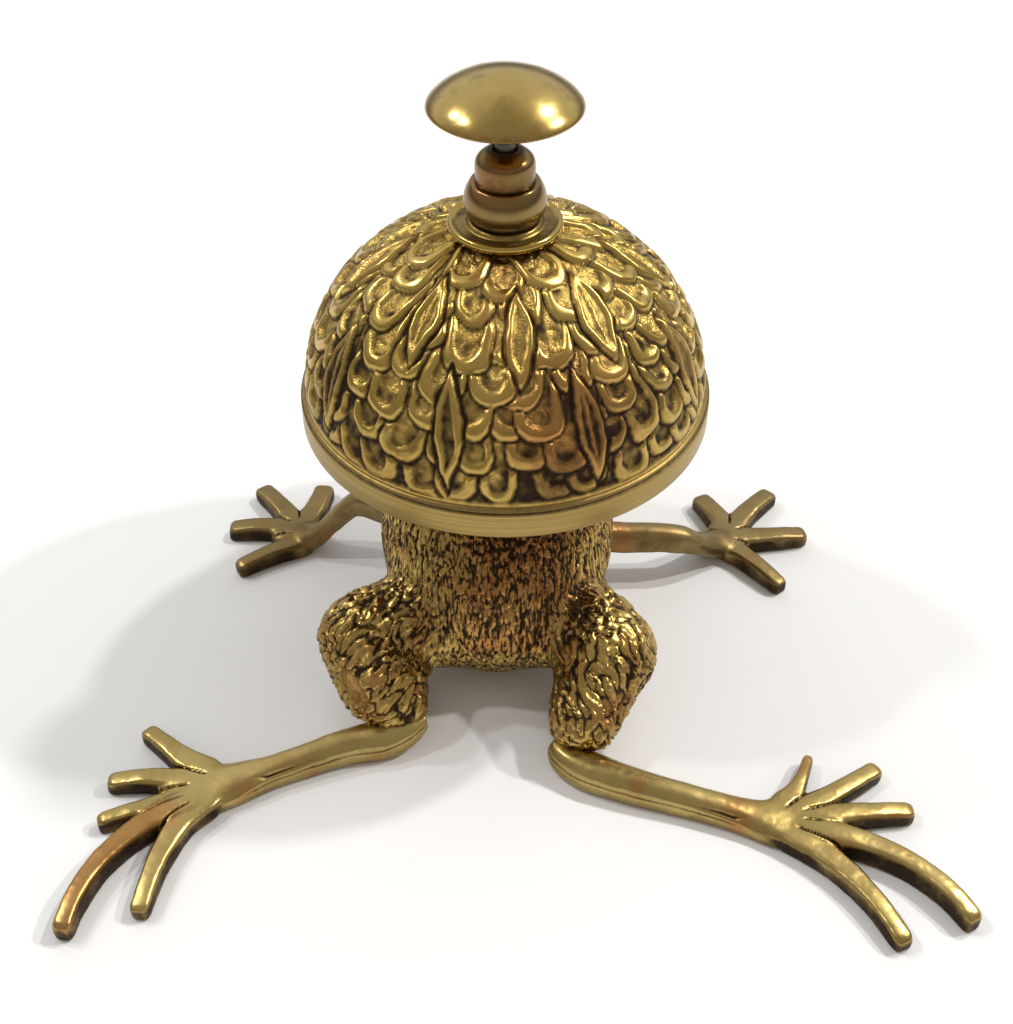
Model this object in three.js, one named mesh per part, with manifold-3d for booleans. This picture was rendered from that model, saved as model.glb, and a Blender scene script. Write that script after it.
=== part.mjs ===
// A counter bell carried on the back of a cast brass frog. Millimetres, +Z up.
// Everything is laid out from the bell's own upright axis, with the frog's head towards +Y.
// The finished group is then moved so that its origin is the middle of its footprint, on the table.
import * as THREE from 'three';
import { mergeVertices } from 'three/addons/utils/BufferGeometryUtils.js';
import Module from 'manifold-3d';

// ---------- driving dimensions ----------
const FOOTPRINT_TO_AXIS = { x: -2.35, y: 21.64 };   // from the middle of the footprint to the bell's axis

const GAP = 0.3;                    // left between pieces that touch
const RUNNING_CLEARANCE = 0.08;     // round a pin or a rod that moves

// bell dome
const RIM_HEIGHT = 52.6;            // underside of the rim above the table
const RIM_RADIUS = 38;
const BAND_HEIGHT = 6;              // plain turned band under the embossed shell
const GROOVE_DEPTH = 0.5;
const SHELL_RADIUS = 36.8;
const SHELL_RISE = 32.2;            // from the top of the band to the crown
const WALL = 2.2;
const SHELL_FOOT = RIM_HEIGHT + BAND_HEIGHT;
const CROWN = SHELL_FOOT + SHELL_RISE;

// plunger and the tube that it slides in
const ROD_RADIUS = 1.7;
const ROD_TOP = 114;
const ROD_TIP_MIDDLE = 72.15;       // centre of the round lower end, which rests on the striker
const TUBE_BORE = ROD_RADIUS + RUNNING_CLEARANCE;
const TUBE_RADIUS = 3;
const TUBE_HOLE = TUBE_RADIUS + GAP;
const TUBE_BOTTOM = 75.3;
const TUBE_TOP = 101.8;
const KNOB_RADIUS = 12.95;
const KNOB_MIDDLE = 112.2;          // height of the knob's widest edge
const KNOB_CROWN = 5.5;             // from that edge up to the top
const KNOB_BELLY = 2.9;             // and down to its underside
const KNOB_BOSS = 3.4;              // radius of the flat round the rod
const CLIP_RADIUS = 3.3;
const CLIP_BOTTOM = 73.9;
const CLIP_THICKNESS = 1;

// what is clamped on the tube, from the collar up
const COLLAR_RADIUS = 10;
const BULB_BOTTOM = 92.3;
const BULB_MIDDLE = 95.3;
const BULB_RADIUS = 7.1;
const BULB_HALF_HEIGHT = 6.2;       // of the ball that its barrel is cut from
const CAP_BOTTOM = 99.1;
const CAP_RADIUS = 5.1;
const CAP_WALL_TOP = 102;
const CAP_TOP = 104.9;
const CAP_MOUTH = 2.4;

// striker
const PIVOT = { y: -8, z: 67.3 };
const SWING = 28;                   // degrees, half below and half above level
const HAMMER_REACH = 19;            // pivot to the hammer's centre
const HAMMER_RADIUS = 3.2;
const ARM_THICKNESS = 1.5;
const HUB_RADIUS = 3;
const HUB_HALF_LENGTH = 3;
const ARM_WIDTH = 4.5;
const ARM_INNER_END = 10.3;         // the end under the rod and on the spring
const PIN_RADIUS = 1.25;
const PIN_HEAD_RADIUS = 2.2;
const PIN_HEAD = 1.4;
const PIN_END = 12.6;
const PIN_CLIP_RADIUS = 2.7;
const PIN_CLIP_THICKNESS = 1;
const TENON = 1.5;                  // square end of the arm, riveted into the hammer

// return spring under the striker's inner end
const SPRING_RADIUS = 2.6;
const SPRING_TURNS = 6;
const SPRING_BOTTOM = 50.1;
const SPRING_TOP = 67.2;
const WIRE_RADIUS = 0.3;

// base plate and bracket
const PLATE_RADIUS = 17;
const PLATE_BOTTOM = 47.3;
const PLATE_THICKNESS = 2;
const PLATE_TOP = PLATE_BOTTOM + PLATE_THICKNESS;
const STRIP = 1.5;                  // thickness of the bracket's strip
const BRACKET_HALF_WIDTH = 10.75;
const BRACKET_TOP = 79;
const CHEEK = { from: -12, to: 6 }; // along Y
const FOOT = { out: 6.8, wide: 8 };
const BRIDGE_WIDTH = 12;
const NOTCH = { size: [4, 8, 15], y: -10, z: 57 };  // cut out of each cheek's lower back corner
const NUTS = {
  bracket_nut_lower: { across: 9, bottom: 75.6, top: 77.2 },
  bracket_nut_upper: { across: 9, bottom: 79.3, top: 81.3 },
  dome_nut: { across: 10, bottom: 83.2, top: 85.8 },
};
const DOME_WASHER = { radius: 6.2, bottom: 86.1, top: 87.8 };
const SCREW_RADIUS = 1.5;
const SCREW_BOTTOM = 40.2;
const SCREW_HEAD_RADIUS = 2.6;
const SCREW_HEAD = 1.6;
const SLOT_WIDTH = 0.7;
const SCREW_PLACES = { left: [-14, -1], right: [14, -1], front: [0, 13.3] };

const STUD_STEM = 1;
const STUD_RADIUS = 1.6;
const STUD_TOP = 53;

// frog
const PAD_RADIUS = 15.5;            // flat pad on the back, under the base plate
const TORSO = { at: [-1.6, -2, 24], half: [23.3, 31, 19], pitch: 30 };
const HEAD = { at: [-1, 25, 35], half: [18.5, 17, 11], pitch: 12 };
const EYES = [{ at: [-12.5, 30, 43], half: [5.4, 5.8, 5.6] }, { at: [10.5, 30, 43], half: [5.4, 5.8, 5.6] }];
const MOUTH = { size: [44, 16, 0.9], at: [-1, 37, 32.6] };
const BELLY_OPENING = { size: [20, 24, 16], at: [-1.5, -7, 4] };
const BODY_UNDERSIDE = 0.8;         // the feet carry the body just clear of the table
// Each leg and the rump as balls [x, y, z, radius] run together.
const LEGS = [
  [[-12, -17, 15, 9.5], [-27.5, -26, 12.5, 9], [-23, -33, 9.6, 9.2], [-22.2, -36.4, 6.8, 7.4]],
  [[10, -16, 15, 9.5], [19.5, -28.5, 13.5, 9.6], [15, -40.8, 8.2, 7.2]],
  [[-13, -22, 13, 7.5], [10, -22, 13, 7.5]],
];
const CASTING_WALL = 4;             // the body is a hollow casting, open under the belly
const PALM_HEIGHT = 4;
const TIP_DROP = 0.7;               // a toe is this much lower at its tip

// ---------- materials ----------
const metal = (color, roughness, metalness = 1) =>
  new THREE.MeshStandardMaterial({ color, roughness, metalness });
const antiqueBrass = metal(0x8a6a34, 0.45);
const filedBrass = metal(0xa88a48, 0.35);
const polishedBrass = metal(0xc09a4e, 0.22);
const nutBrass = metal(0x8e6437, 0.28);
const steel = metal(0x9a9c9e, 0.35);
const fibre = metal(0x5a2f22, 0.8, 0);

// ---------- solids ----------
const wasm = await Module();
wasm.setup();

function bareGeometry(geometry) {
  const bare = geometry.index ? geometry.toNonIndexed() : geometry.clone();
  for (const name of Object.keys(bare.attributes)) {
    if (name !== 'position') bare.deleteAttribute(name);
  }
  const merged = mergeVertices(bare, 1e-4);
  const corners = merged.index.array;
  const kept = [];
  for (let i = 0; i < corners.length; i += 3) {
    const [a, b, c] = [corners[i], corners[i + 1], corners[i + 2]];
    if (a !== b && b !== c && c !== a) kept.push(a, b, c);
  }
  merged.setIndex(kept);
  return merged;
}

function solidOf(geometry) {
  const bare = bareGeometry(geometry);
  const vertProperties = new Float32Array(bare.attributes.position.array);
  const triVerts = new Uint32Array(bare.index.array);
  return new wasm.Manifold(new wasm.Mesh({ numProp: 3, vertProperties, triVerts }));
}

function geometryOf(solid) {
  const mesh = solid.getMesh();
  const geometry = new THREE.BufferGeometry();
  geometry.setAttribute('position', new THREE.BufferAttribute(mesh.vertProperties, 3));
  geometry.setIndex(new THREE.BufferAttribute(mesh.triVerts, 1));
  geometry.computeVertexNormals();
  return geometry;
}

const joined = (...geometries) => geometries.map(solidOf).reduce((whole, next) => whole.add(next));
const cut = (solid, ...geometries) =>
  geometries.map(solidOf).reduce((rest, tool) => rest.subtract(tool), solid);

// A turned piece about +Z. The profile is [radius, height] points, going up the outside.
function turned(profile, segments = 28) {
  const points = profile.map(([radius, height]) => new THREE.Vector2(radius, height));
  return new THREE.LatheGeometry(points, segments).rotateX(Math.PI / 2);
}

// A turned piece with a hole down its middle: the profile closes on itself.
const turnedRing = (profile, segments) => turned([...profile, profile[0]], segments);

const rod = (radius, bottom, top, segments = 20) => turned([
  [0, bottom], [radius, bottom], [radius, top], [0, top],
], segments);

const box = (size, centre) => new THREE.BoxGeometry(...size).translate(...centre);

function hexRing({ across, bottom, top }, hole) {
  const outline = new THREE.Shape();
  const corner = across / 2 / Math.cos(Math.PI / 6);
  for (let i = 0; i < 6; i += 1) {
    const angle = (i * Math.PI) / 3;
    const place = [corner * Math.cos(angle), corner * Math.sin(angle)];
    if (i === 0) outline.moveTo(...place);
    else outline.lineTo(...place);
  }
  outline.closePath();
  const bore = new THREE.Path();
  bore.absarc(0, 0, hole, 0, 2 * Math.PI, true);
  outline.holes.push(bore);
  const height = top - bottom;
  return new THREE.ExtrudeGeometry(outline, { depth: height, bevelEnabled: false, curveSegments: 10 })
    .translate(0, 0, bottom);
}

// Points of an arc on an ellipse in a profile, from one angle to another (degrees from the radius axis).
function arc(centreHeight, radius, rise, from, to, steps) {
  const points = [];
  for (let i = 0; i <= steps; i += 1) {
    const angle = THREE.MathUtils.degToRad(from + ((to - from) * i) / steps);
    points.push([radius * Math.cos(angle), centreHeight + rise * Math.sin(angle)]);
  }
  return points;
}

// ---------- cast shapes ----------
function ellipsoid({ at, half, pitch = 0 }, grow = 0, columns = 20, rows = 12) {
  return new THREE.SphereGeometry(1, columns, rows)
    .rotateX(Math.PI / 2)
    .scale(half[0] + grow, half[1] + grow, half[2] + grow)
    .rotateX(THREE.MathUtils.degToRad(pitch))
    .translate(...at);
}

// A rounded limb from one ball [x, y, z, radius] to another.
function limb([fromX, fromY, fromZ, fromRadius], [toX, toY, toZ, toRadius]) {
  const start = new THREE.Vector3(fromX, fromY, fromZ);
  const way = new THREE.Vector3(toX, toY, toZ).sub(start);
  const length = way.length();
  const near = arc(0, fromRadius, fromRadius, -90, 0, 3);
  const far = arc(length, toRadius, toRadius, 0, 90, 3);
  const turn = new THREE.Quaternion().setFromUnitVectors(new THREE.Vector3(0, 0, 1), way.normalize());
  const place = new THREE.Matrix4().compose(start, turn, new THREE.Vector3(1, 1, 1));
  return turned([...near, ...far], 12).applyMatrix4(place);
}

// A filed bar with a flat underside and a bevelled top, bent along stations [x, y, underside, width, height].
function bar(stations, grow = 0, stepsBetween = 2) {
  const outline = new THREE.Shape([
    new THREE.Vector2(-0.5, 0), new THREE.Vector2(0.5, 0), new THREE.Vector2(0.5, 0.6),
    new THREE.Vector2(0.3, 1), new THREE.Vector2(-0.3, 1), new THREE.Vector2(-0.5, 0.6),
  ]);
  const spans = stations.length - 1;
  const steps = spans * stepsBetween;
  const curve = new THREE.CatmullRomCurve3(stations.map(([x, y, z]) => new THREE.Vector3(x, y, z)));
  const geometry = new THREE.ExtrudeGeometry(outline, { depth: 1, steps, bevelEnabled: false });
  const corners = geometry.attributes.position;
  const up = new THREE.Vector3(0, 0, 1);
  for (let i = 0; i < corners.count; i += 1) {
    const along = THREE.MathUtils.clamp(corners.getZ(i), 0, 1);
    const station = Math.min(Math.floor(along * spans + 1e-6), spans - 1);
    const part = along * spans - station;
    const width = THREE.MathUtils.lerp(stations[station][3], stations[station + 1][3], part) + 2 * grow;
    const height = THREE.MathUtils.lerp(stations[station][4], stations[station + 1][4], part) + grow;
    const tangent = curve.getTangent(along).setZ(0).normalize();
    const side = new THREE.Vector3().crossVectors(up, tangent);
    const point = curve.getPoint(along).addScaledVector(side, corners.getX(i) * width);
    if (along === 0) point.addScaledVector(tangent, -grow);
    if (along === 1) point.addScaledVector(tangent, grow);
    point.z = Math.max(point.z, 0) + corners.getY(i) * height - (corners.getY(i) === 0 ? grow : 0);
    corners.setXYZ(i, point.x, point.y, point.z);
  }
  return geometry;
}

// A toe or finger lying on the table, through plan points from its root in the palm to its tip.
function toe(places, { root = 6, tip = 3.6, height = PALM_HEIGHT } = {}) {
  const last = places.length - 1;
  return places.map(([x, y], i) => {
    const width = tip + (root - tip) * (1 - i / last) ** 2;
    if (i === 0) return [x, y, 0, width, PALM_HEIGHT];
    return [x, y, 0, width, i === last ? height - TIP_DROP : height];
  });
}

// Each hind foot is a long bar from the heel, its web, then five toes fanning out from its end.
const HIND_FEET = {
  left: [
    [[-15.4, -37.8, 3.4, 3.4, 3.2], [-18.4, -39.2, 1.4, 6, 5.2], [-23, -40.9, 0, 7.2, 6.4],
      [-30, -42.6, 0, 6.4, 6.2], [-37, -45.4, 0, 5.8, 5.6], [-44, -48.2, 0, 6.2, 5], [-51, -50.8, 0, 9, 4.5],
      [-56.5, -52.4, 0, 11, 4]],
    [[-52, -51.2, 0, 9, 4.3], [-58, -53, 0, 11, 3.9], [-63.5, -54.8, 0, 8, 3.3]],
    toe([[-54, -49.6], [-60, -46], [-64.5, -42.4], [-69, -38.4]], { root: 7 }),
    toe([[-55, -51.2], [-61, -50.5], [-67, -50.1], [-74, -50.6]]),
    toe([[-55, -52.8], [-61.5, -55.2], [-67, -57.2], [-74, -59.6]], { tip: 3.2 }),
    toe([[-55, -54], [-61.5, -58], [-67.2, -63], [-71.8, -69.4], [-74.2, -76], [-75.3, -82.3]],
      { height: 4.8 }),
    toe([[-53.5, -53.4], [-58.4, -59.4], [-60.7, -65.4], [-62.1, -71.6], [-63, -78.4]], { root: 6.6 }),
  ],
  right: [
    [[9.4, -43, 1.6, 3.6, 4], [11.6, -45.6, 0.3, 6.2, 5.8], [16, -48.4, 0, 7.2, 6.2],
      [22.6, -51.2, 0, 6.6, 6], [30.3, -53.8, 0, 6, 5.6], [37.3, -56, 0, 5.8, 5.2], [44.3, -58.2, 0, 7, 4.6],
      [51, -60, 0, 10.5, 4]],
    [[46, -58.6, 0, 8, 4.4], [54, -60.2, 0, 11, 3.9], [60, -61.4, 0, 8, 3.3]],
    toe([[49.5, -57.8], [53, -53.8], [55.3, -49.8], [57.4, -44.8]], { root: 5.6, tip: 2.2 }),
    toe([[51.5, -58.4], [58, -55.2], [63.4, -52], [70, -47.4]]),
    toe([[53, -59.2], [60, -58.4], [67, -57.8], [74.6, -57.2]]),
    toe([[52, -60.4], [60, -63.2], [67, -66.2], [73, -70.4], [77.2, -75.2], [80.2, -80.4]], { height: 4.8 }),
    toe([[49.5, -60.6], [56, -66], [60.8, -71.4], [64.6, -77.6], [67.6, -84.2]], { root: 6.6 }),
  ],
};

// Each foreleg is a bent bar from the chest to the palm, the palm itself, then four fingers. The bar starts
// inside the chest and is cut to the chest's outside.
const FORELEGS = {
  left: [
    [[-9, 7.4, 15, 6.2, 6.6], [-19.6, 9, 12.6, 6, 6.4], [-25.6, 11.6, 12.2, 5.6, 5.8],
      [-31.5, 14.6, 11.4, 5.4, 5.4], [-36.6, 14.8, 7, 5.6, 5.4], [-41.4, 15, 1.8, 6.6, 5],
      [-46.5, 17.6, 0, 9, 4]],
    [[-42.6, 14, 0, 6, 4], [-47, 18, 0, 11, 4.1], [-50, 20.8, 0, 7, 3.9]],
    toe([[-47, 20.2], [-49.2, 23.6], [-52.4, 27.8], [-56, 32.4]], { tip: 4.4 }),
    toe([[-45.8, 19], [-43.4, 23.6], [-42.2, 27.6], [-41.4, 33]], { tip: 4.6 }),
    toe([[-47, 18.6], [-52, 19], [-56, 19], [-61.4, 18.9]], { tip: 4.2 }),
    toe([[-43.4, 15], [-47.4, 12.8], [-52, 10.2], [-58, 6.4]]),
  ],
  right: [
    [[6, 7.6, 14.5, 6.4, 6.8], [16, 7.8, 9.4, 6.4, 6.8], [23.6, 8, 7.4, 6, 6], [32, 8.2, 7.2, 5.8, 5.6],
      [38.6, 8.6, 6.2, 5.8, 5.4], [44, 11.6, 1.8, 6.6, 5.2], [49.6, 15.6, 0, 9, 4]],
    [[45.6, 12.4, 0, 6, 4], [49.6, 16.2, 0, 10.5, 4.1], [51.8, 19, 0, 7, 3.9]],
    toe([[49.2, 18], [48, 21.6], [46.2, 25.4], [44.2, 29.4]], { tip: 4.4 }),
    toe([[50.6, 18.2], [53.4, 22.4], [56.6, 26.2], [60.8, 30.8]], { tip: 4.4 }),
    toe([[50, 15.8], [55.6, 15.6], [60.6, 16], [66.6, 17]], { tip: 4.2 }),
    toe([[47.6, 13.6], [51.4, 10.4], [55, 6], [59.2, 0.8]]),
  ],
};

const castBars = (stationLists, grow = 0) => joined(...stationLists.map((stations) => bar(stations, grow)));

function frogBody() {
  const limbs = LEGS.flatMap((balls) => balls.slice(1).map((ball, i) => limb(balls[i], ball)));
  const eyes = EYES.map((eye) => ellipsoid(eye, 0, 10, 6));
  const pad = rod(PAD_RADIUS, TORSO.at[2], PLATE_BOTTOM - GAP, 24);
  const screwHoles = Object.values(SCREW_PLACES).map(([x, y]) =>
    rod(SCREW_RADIUS + GAP, SCREW_BOTTOM - 1, PLATE_BOTTOM + 1, 8).translate(x, y, 0));
  const tableCut = box([120, 160, 20], [0, 0, BODY_UNDERSIDE - 10]);
  const hollow = ellipsoid(TORSO, -CASTING_WALL, 16, 10);
  const openings = [BELLY_OPENING, MOUTH].map(({ size, at }) => box(size, at));
  const whole = joined(ellipsoid(TORSO), ellipsoid(HEAD, 0, 16, 10), ...eyes, ...limbs, pad);
  const body = cut(whole, hollow, ...openings, tableCut, ...screwHoles);
  return [...Object.values(HIND_FEET), ...Object.values(FORELEGS)]
    .reduce((rest, bars) => rest.subtract(castBars(bars, GAP)), body);
}

// ---------- bell stack ----------
function bellDome() {
  const insideRise = SHELL_RISE - WALL;
  const insideRadius = SHELL_RADIUS - WALL;
  const crownOutside = THREE.MathUtils.radToDeg(Math.acos(TUBE_HOLE / SHELL_RADIUS));
  const crownInside = THREE.MathUtils.radToDeg(Math.acos(TUBE_HOLE / insideRadius));
  const bead = RIM_RADIUS - 0.2;
  return turnedRing([
    [insideRadius, RIM_HEIGHT], [RIM_RADIUS - 0.4, RIM_HEIGHT], [RIM_RADIUS, RIM_HEIGHT + 0.4],
    [RIM_RADIUS, SHELL_FOOT - 1.4], [RIM_RADIUS - GROOVE_DEPTH, SHELL_FOOT - 1.1], [bead, SHELL_FOOT - 0.8],
    [bead, SHELL_FOOT - 0.4],
    ...arc(SHELL_FOOT, SHELL_RADIUS, SHELL_RISE, 0, crownOutside, 10),
    ...arc(SHELL_FOOT, insideRadius, insideRise, crownInside, 0, 9),
  ], 36);
}

function dishedCollar() {
  const seat = CROWN + 0.2;
  const lip = COLLAR_RADIUS - 0.5;
  return turnedRing([
    [TUBE_HOLE, seat], [lip, seat - 0.9], [COLLAR_RADIUS, seat - 0.6], [COLLAR_RADIUS, seat + 0.1],
    [lip, seat + 0.5], [lip - 0.6, seat + 0.1], [lip - 2.8, seat + 0.5], [lip - 3.4, seat + 1],
    [TUBE_HOLE, seat + 1],
  ]);
}

function bulbNut() {
  const barrel = arc(BULB_MIDDLE, BULB_RADIUS, BULB_HALF_HEIGHT, -25, 34, 6);
  return turnedRing([
    [TUBE_HOLE, BULB_BOTTOM], [6.4, BULB_BOTTOM], ...barrel, [TUBE_HOLE, CAP_BOTTOM - GAP],
  ]);
}

function capNut() {
  return turnedRing([
    [TUBE_HOLE, CAP_BOTTOM], [CAP_RADIUS, CAP_BOTTOM], [CAP_RADIUS, CAP_WALL_TOP],
    [CAP_RADIUS - 0.2, CAP_WALL_TOP + 1.1], [CAP_RADIUS - 0.7, CAP_WALL_TOP + 1.9],
    [CAP_RADIUS - 1.6, CAP_WALL_TOP + 2.6], [CAP_MOUTH, CAP_TOP], [TUBE_BORE, CAP_TOP - 0.9],
    [TUBE_BORE, TUBE_TOP + GAP], [TUBE_HOLE, TUBE_TOP + GAP],
  ]);
}

// A polished lens with a socket for the rod.
function pushKnob() {
  const socket = ROD_RADIUS + GAP;
  const bossAngle = THREE.MathUtils.radToDeg(Math.acos(KNOB_BOSS / KNOB_RADIUS));
  return turned([
    [0, ROD_TOP + GAP], [socket, ROD_TOP + GAP], [socket, KNOB_MIDDLE - KNOB_BELLY + 0.1],
    ...arc(KNOB_MIDDLE, KNOB_RADIUS, KNOB_BELLY, -bossAngle, 0, 6),
    ...arc(KNOB_MIDDLE, KNOB_RADIUS, KNOB_CROWN, 0, 90, 7).slice(1),
  ], 32);
}

function plungerRod() {
  const tip = arc(ROD_TIP_MIDDLE, ROD_RADIUS, ROD_RADIUS, -90, 0, 4);
  return turned([...tip, [ROD_RADIUS, ROD_TOP], [0, ROD_TOP]], 24);
}

const ring = (inside, outside, bottom, top) => turnedRing([
  [inside, bottom], [outside, bottom], [outside, top], [inside, top],
], 24);

const retainingClip = () => ring(ROD_RADIUS + GAP, CLIP_RADIUS, CLIP_BOTTOM, CLIP_BOTTOM + CLIP_THICKNESS);
const hollowTube = () => ring(TUBE_BORE, TUBE_RADIUS, TUBE_BOTTOM, TUBE_TOP);

// ---------- base plate, bracket and striker ----------
const screwHole = ([x, y], bottom, top) => rod(SCREW_RADIUS + GAP, bottom, top, 8).translate(x, y, 0);

function basePlate() {
  const disc = solidOf(rod(PLATE_RADIUS, PLATE_BOTTOM, PLATE_TOP, 32));
  const holes = Object.values(SCREW_PLACES).map((place) => screwHole(place, PLATE_BOTTOM - 1, PLATE_TOP + 1));
  return cut(disc, ...holes, rod(STUD_STEM + GAP, PLATE_BOTTOM - 1, PLATE_TOP + 1, 8));
}

const springStud = () => turned([[0, PLATE_BOTTOM + GAP], [STUD_STEM, PLATE_BOTTOM + GAP],
  [STUD_STEM, PLATE_TOP + GAP], [STUD_RADIUS, PLATE_TOP + GAP], [STUD_RADIUS, STUD_TOP - 0.6],
  [STUD_RADIUS / 2, STUD_TOP], [0, STUD_TOP]], 12);

// A slotted pan-head screw, its head standing on the given height.
function panScrew([x, y], seat) {
  const top = seat + SCREW_HEAD;
  const shank = turned([
    [0, SCREW_BOTTOM - 0.8], [SCREW_RADIUS, SCREW_BOTTOM], [SCREW_RADIUS, seat], [SCREW_HEAD_RADIUS, seat],
    [SCREW_HEAD_RADIUS, seat + 0.9], [SCREW_HEAD_RADIUS - 0.8, top], [0, top],
  ], 12);
  return cut(solidOf(shank), box([6, SLOT_WIDTH, 1.4], [0, 0, top])).translate([x, y, 0]);
}

// Lays a piece that was turned about +Z along +X, on the striker's pivot.
const crosswise = (geometry) => geometry.rotateY(Math.PI / 2).translate(0, PIVOT.y, PIVOT.z);

// An inverted U of brass strip: feet on the plate, two cheeks for the pivot, and a bridge for the tube.
function strikerBracket() {
  const footBottom = PLATE_TOP + GAP;
  const cheekHeight = BRACKET_TOP - footBottom;
  const cheekX = BRACKET_HALF_WIDTH - STRIP / 2;
  const footX = cheekX + FOOT.out / 2 - STRIP / 2;
  const cheekLength = CHEEK.to - CHEEK.from;
  const cheekMiddle = (CHEEK.to + CHEEK.from) / 2;
  const sides = [-1, 1].flatMap((side) => [
    box([STRIP, cheekLength, cheekHeight], [side * cheekX, cheekMiddle, footBottom + cheekHeight / 2]),
    box([FOOT.out, FOOT.wide, STRIP], [side * footX, SCREW_PLACES.left[1], footBottom + STRIP / 2]),
  ]);
  const bridge = box([2 * BRACKET_HALF_WIDTH, BRIDGE_WIDTH, STRIP], [0, 0, BRACKET_TOP - STRIP / 2]);
  const notches = [-1, 1].map((side) => box(NOTCH.size, [side * cheekX, NOTCH.y, NOTCH.z]));
  const screwHoles = [SCREW_PLACES.left, SCREW_PLACES.right].map((place) =>
    screwHole(place, PLATE_TOP, PLATE_TOP + 3));
  const tubeHole = rod(TUBE_HOLE, BRACKET_TOP - 3, BRACKET_TOP + 1, 24);
  const pinHole = crosswise(rod(PIN_RADIUS + GAP, -14, 14, 24));
  return cut(joined(...sides, bridge), ...notches, ...screwHoles, tubeHole, pinHole);
}

function pivotPin() {
  const headInside = -(BRACKET_HALF_WIDTH + GAP);
  return crosswise(turned([
    [0, headInside - PIN_HEAD], [PIN_HEAD_RADIUS, headInside - PIN_HEAD], [PIN_HEAD_RADIUS, headInside],
    [PIN_RADIUS, headInside], [PIN_RADIUS, PIN_END], [0, PIN_END],
  ], 24));
}

function pinClip() {
  const inside = BRACKET_HALF_WIDTH + GAP;
  return crosswise(ring(PIN_RADIUS + GAP, PIN_CLIP_RADIUS, inside, inside + PIN_CLIP_THICKNESS));
}

// The striker is laid out level, about its own pivot, with the hammer towards -Y.
function strikerArm() {
  const outerEnd = HAMMER_REACH - HAMMER_RADIUS - GAP;
  const hub = rod(HUB_RADIUS, -HUB_HALF_LENGTH, HUB_HALF_LENGTH, 24).rotateY(Math.PI / 2);
  const length = ARM_INNER_END + outerEnd;
  const strip = box([ARM_WIDTH, length, ARM_THICKNESS], [0, ARM_INNER_END - length / 2, 0]);
  const tenon = box([TENON, HAMMER_RADIUS + 1, TENON], [0, -outerEnd - HAMMER_RADIUS / 2, 0]);
  const bore = rod(PIN_RADIUS + RUNNING_CLEARANCE, -HUB_HALF_LENGTH - 1, HUB_HALF_LENGTH + 1, 24);
  return cut(joined(hub, strip, tenon), bore.rotateY(Math.PI / 2));
}

function hammerHead() {
  const ball = new THREE.SphereGeometry(HAMMER_RADIUS, 14, 9).translate(0, -HAMMER_REACH, 0);
  const socketWidth = TENON + 2 * GAP;
  const socketLength = HAMMER_RADIUS + 2;
  const socketMiddle = HAMMER_RADIUS / 2 - HAMMER_REACH;
  return cut(solidOf(ball), box([socketWidth, socketLength, socketWidth], [0, socketMiddle, 0]));
}

class Helix extends THREE.Curve {
  constructor(radius, bottom, top, turns) {
    super();
    Object.assign(this, { radius, bottom, top, turns });
  }

  getPoint(t, target = new THREE.Vector3()) {
    const angle = 2 * Math.PI * this.turns * t;
    return target.set(this.radius * Math.cos(angle), this.radius * Math.sin(angle),
      THREE.MathUtils.lerp(this.bottom, this.top, t));
  }
}

function returnSpring() {
  const coil = new Helix(SPRING_RADIUS, SPRING_BOTTOM, SPRING_TOP, SPRING_TURNS);
  const wire = new THREE.Shape();
  wire.absarc(0, 0, WIRE_RADIUS, 0, 2 * Math.PI, false);
  return new THREE.ExtrudeGeometry(wire, { steps: SPRING_TURNS * 9, extrudePath: coil, curveSegments: 3 });
}

// ---------- assembly ----------
const frogBell = new THREE.Group();
frogBell.position.set(FOOTPRINT_TO_AXIS.x, FOOTPRINT_TO_AXIS.y, 0);

function addPiece(parent, name, shape, material) {
  const geometry = shape.isBufferGeometry ? shape : geometryOf(shape);
  const piece = new THREE.Mesh(geometry, material);
  piece.name = name;
  parent.add(piece);
}

const frog = new THREE.Group();
addPiece(frog, 'frog_body', frogBody(), antiqueBrass);
for (const [side, bars] of Object.entries(HIND_FEET)) {
  addPiece(frog, `hind_foot_${side}`, castBars(bars), filedBrass);
}
for (const [side, bars] of Object.entries(FORELEGS)) {
  addPiece(frog, `foreleg_${side}`, cut(castBars(bars), ellipsoid(TORSO, GAP)), filedBrass);
}

const frame = new THREE.Group();
addPiece(frame, 'base_plate', basePlate(), polishedBrass);
addPiece(frame, 'bracket_screw_left', panScrew(SCREW_PLACES.left, PLATE_TOP + STRIP + 2 * GAP), steel);
addPiece(frame, 'bracket_screw_right', panScrew(SCREW_PLACES.right, PLATE_TOP + STRIP + 2 * GAP), steel);
addPiece(frame, 'plate_screw_front', panScrew(SCREW_PLACES.front, PLATE_TOP + GAP), steel);
addPiece(frame, 'striker_bracket', strikerBracket(), polishedBrass);
addPiece(frame, 'pivot_pin', pivotPin(), steel);
addPiece(frame, 'pin_clip', pinClip(), steel);
addPiece(frame, 'spring_stud', springStud(), polishedBrass);
addPiece(frame, 'return_spring', returnSpring(), steel);

const stack = new THREE.Group();
addPiece(stack, 'hollow_spindle', hollowTube(), polishedBrass);
for (const [name, nut] of Object.entries(NUTS)) addPiece(stack, name, hexRing(nut, TUBE_HOLE), nutBrass);
const { radius: washerRadius, bottom: washerBottom, top: washerTop } = DOME_WASHER;
addPiece(stack, 'dome_washer', ring(TUBE_HOLE, washerRadius, washerBottom, washerTop), fibre);
addPiece(stack, 'bell_dome', bellDome(), antiqueBrass);
addPiece(stack, 'dished_collar', dishedCollar(), nutBrass);
addPiece(stack, 'bulb_nut', bulbNut(), nutBrass);
addPiece(stack, 'cap_nut', capNut(), nutBrass);

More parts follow.
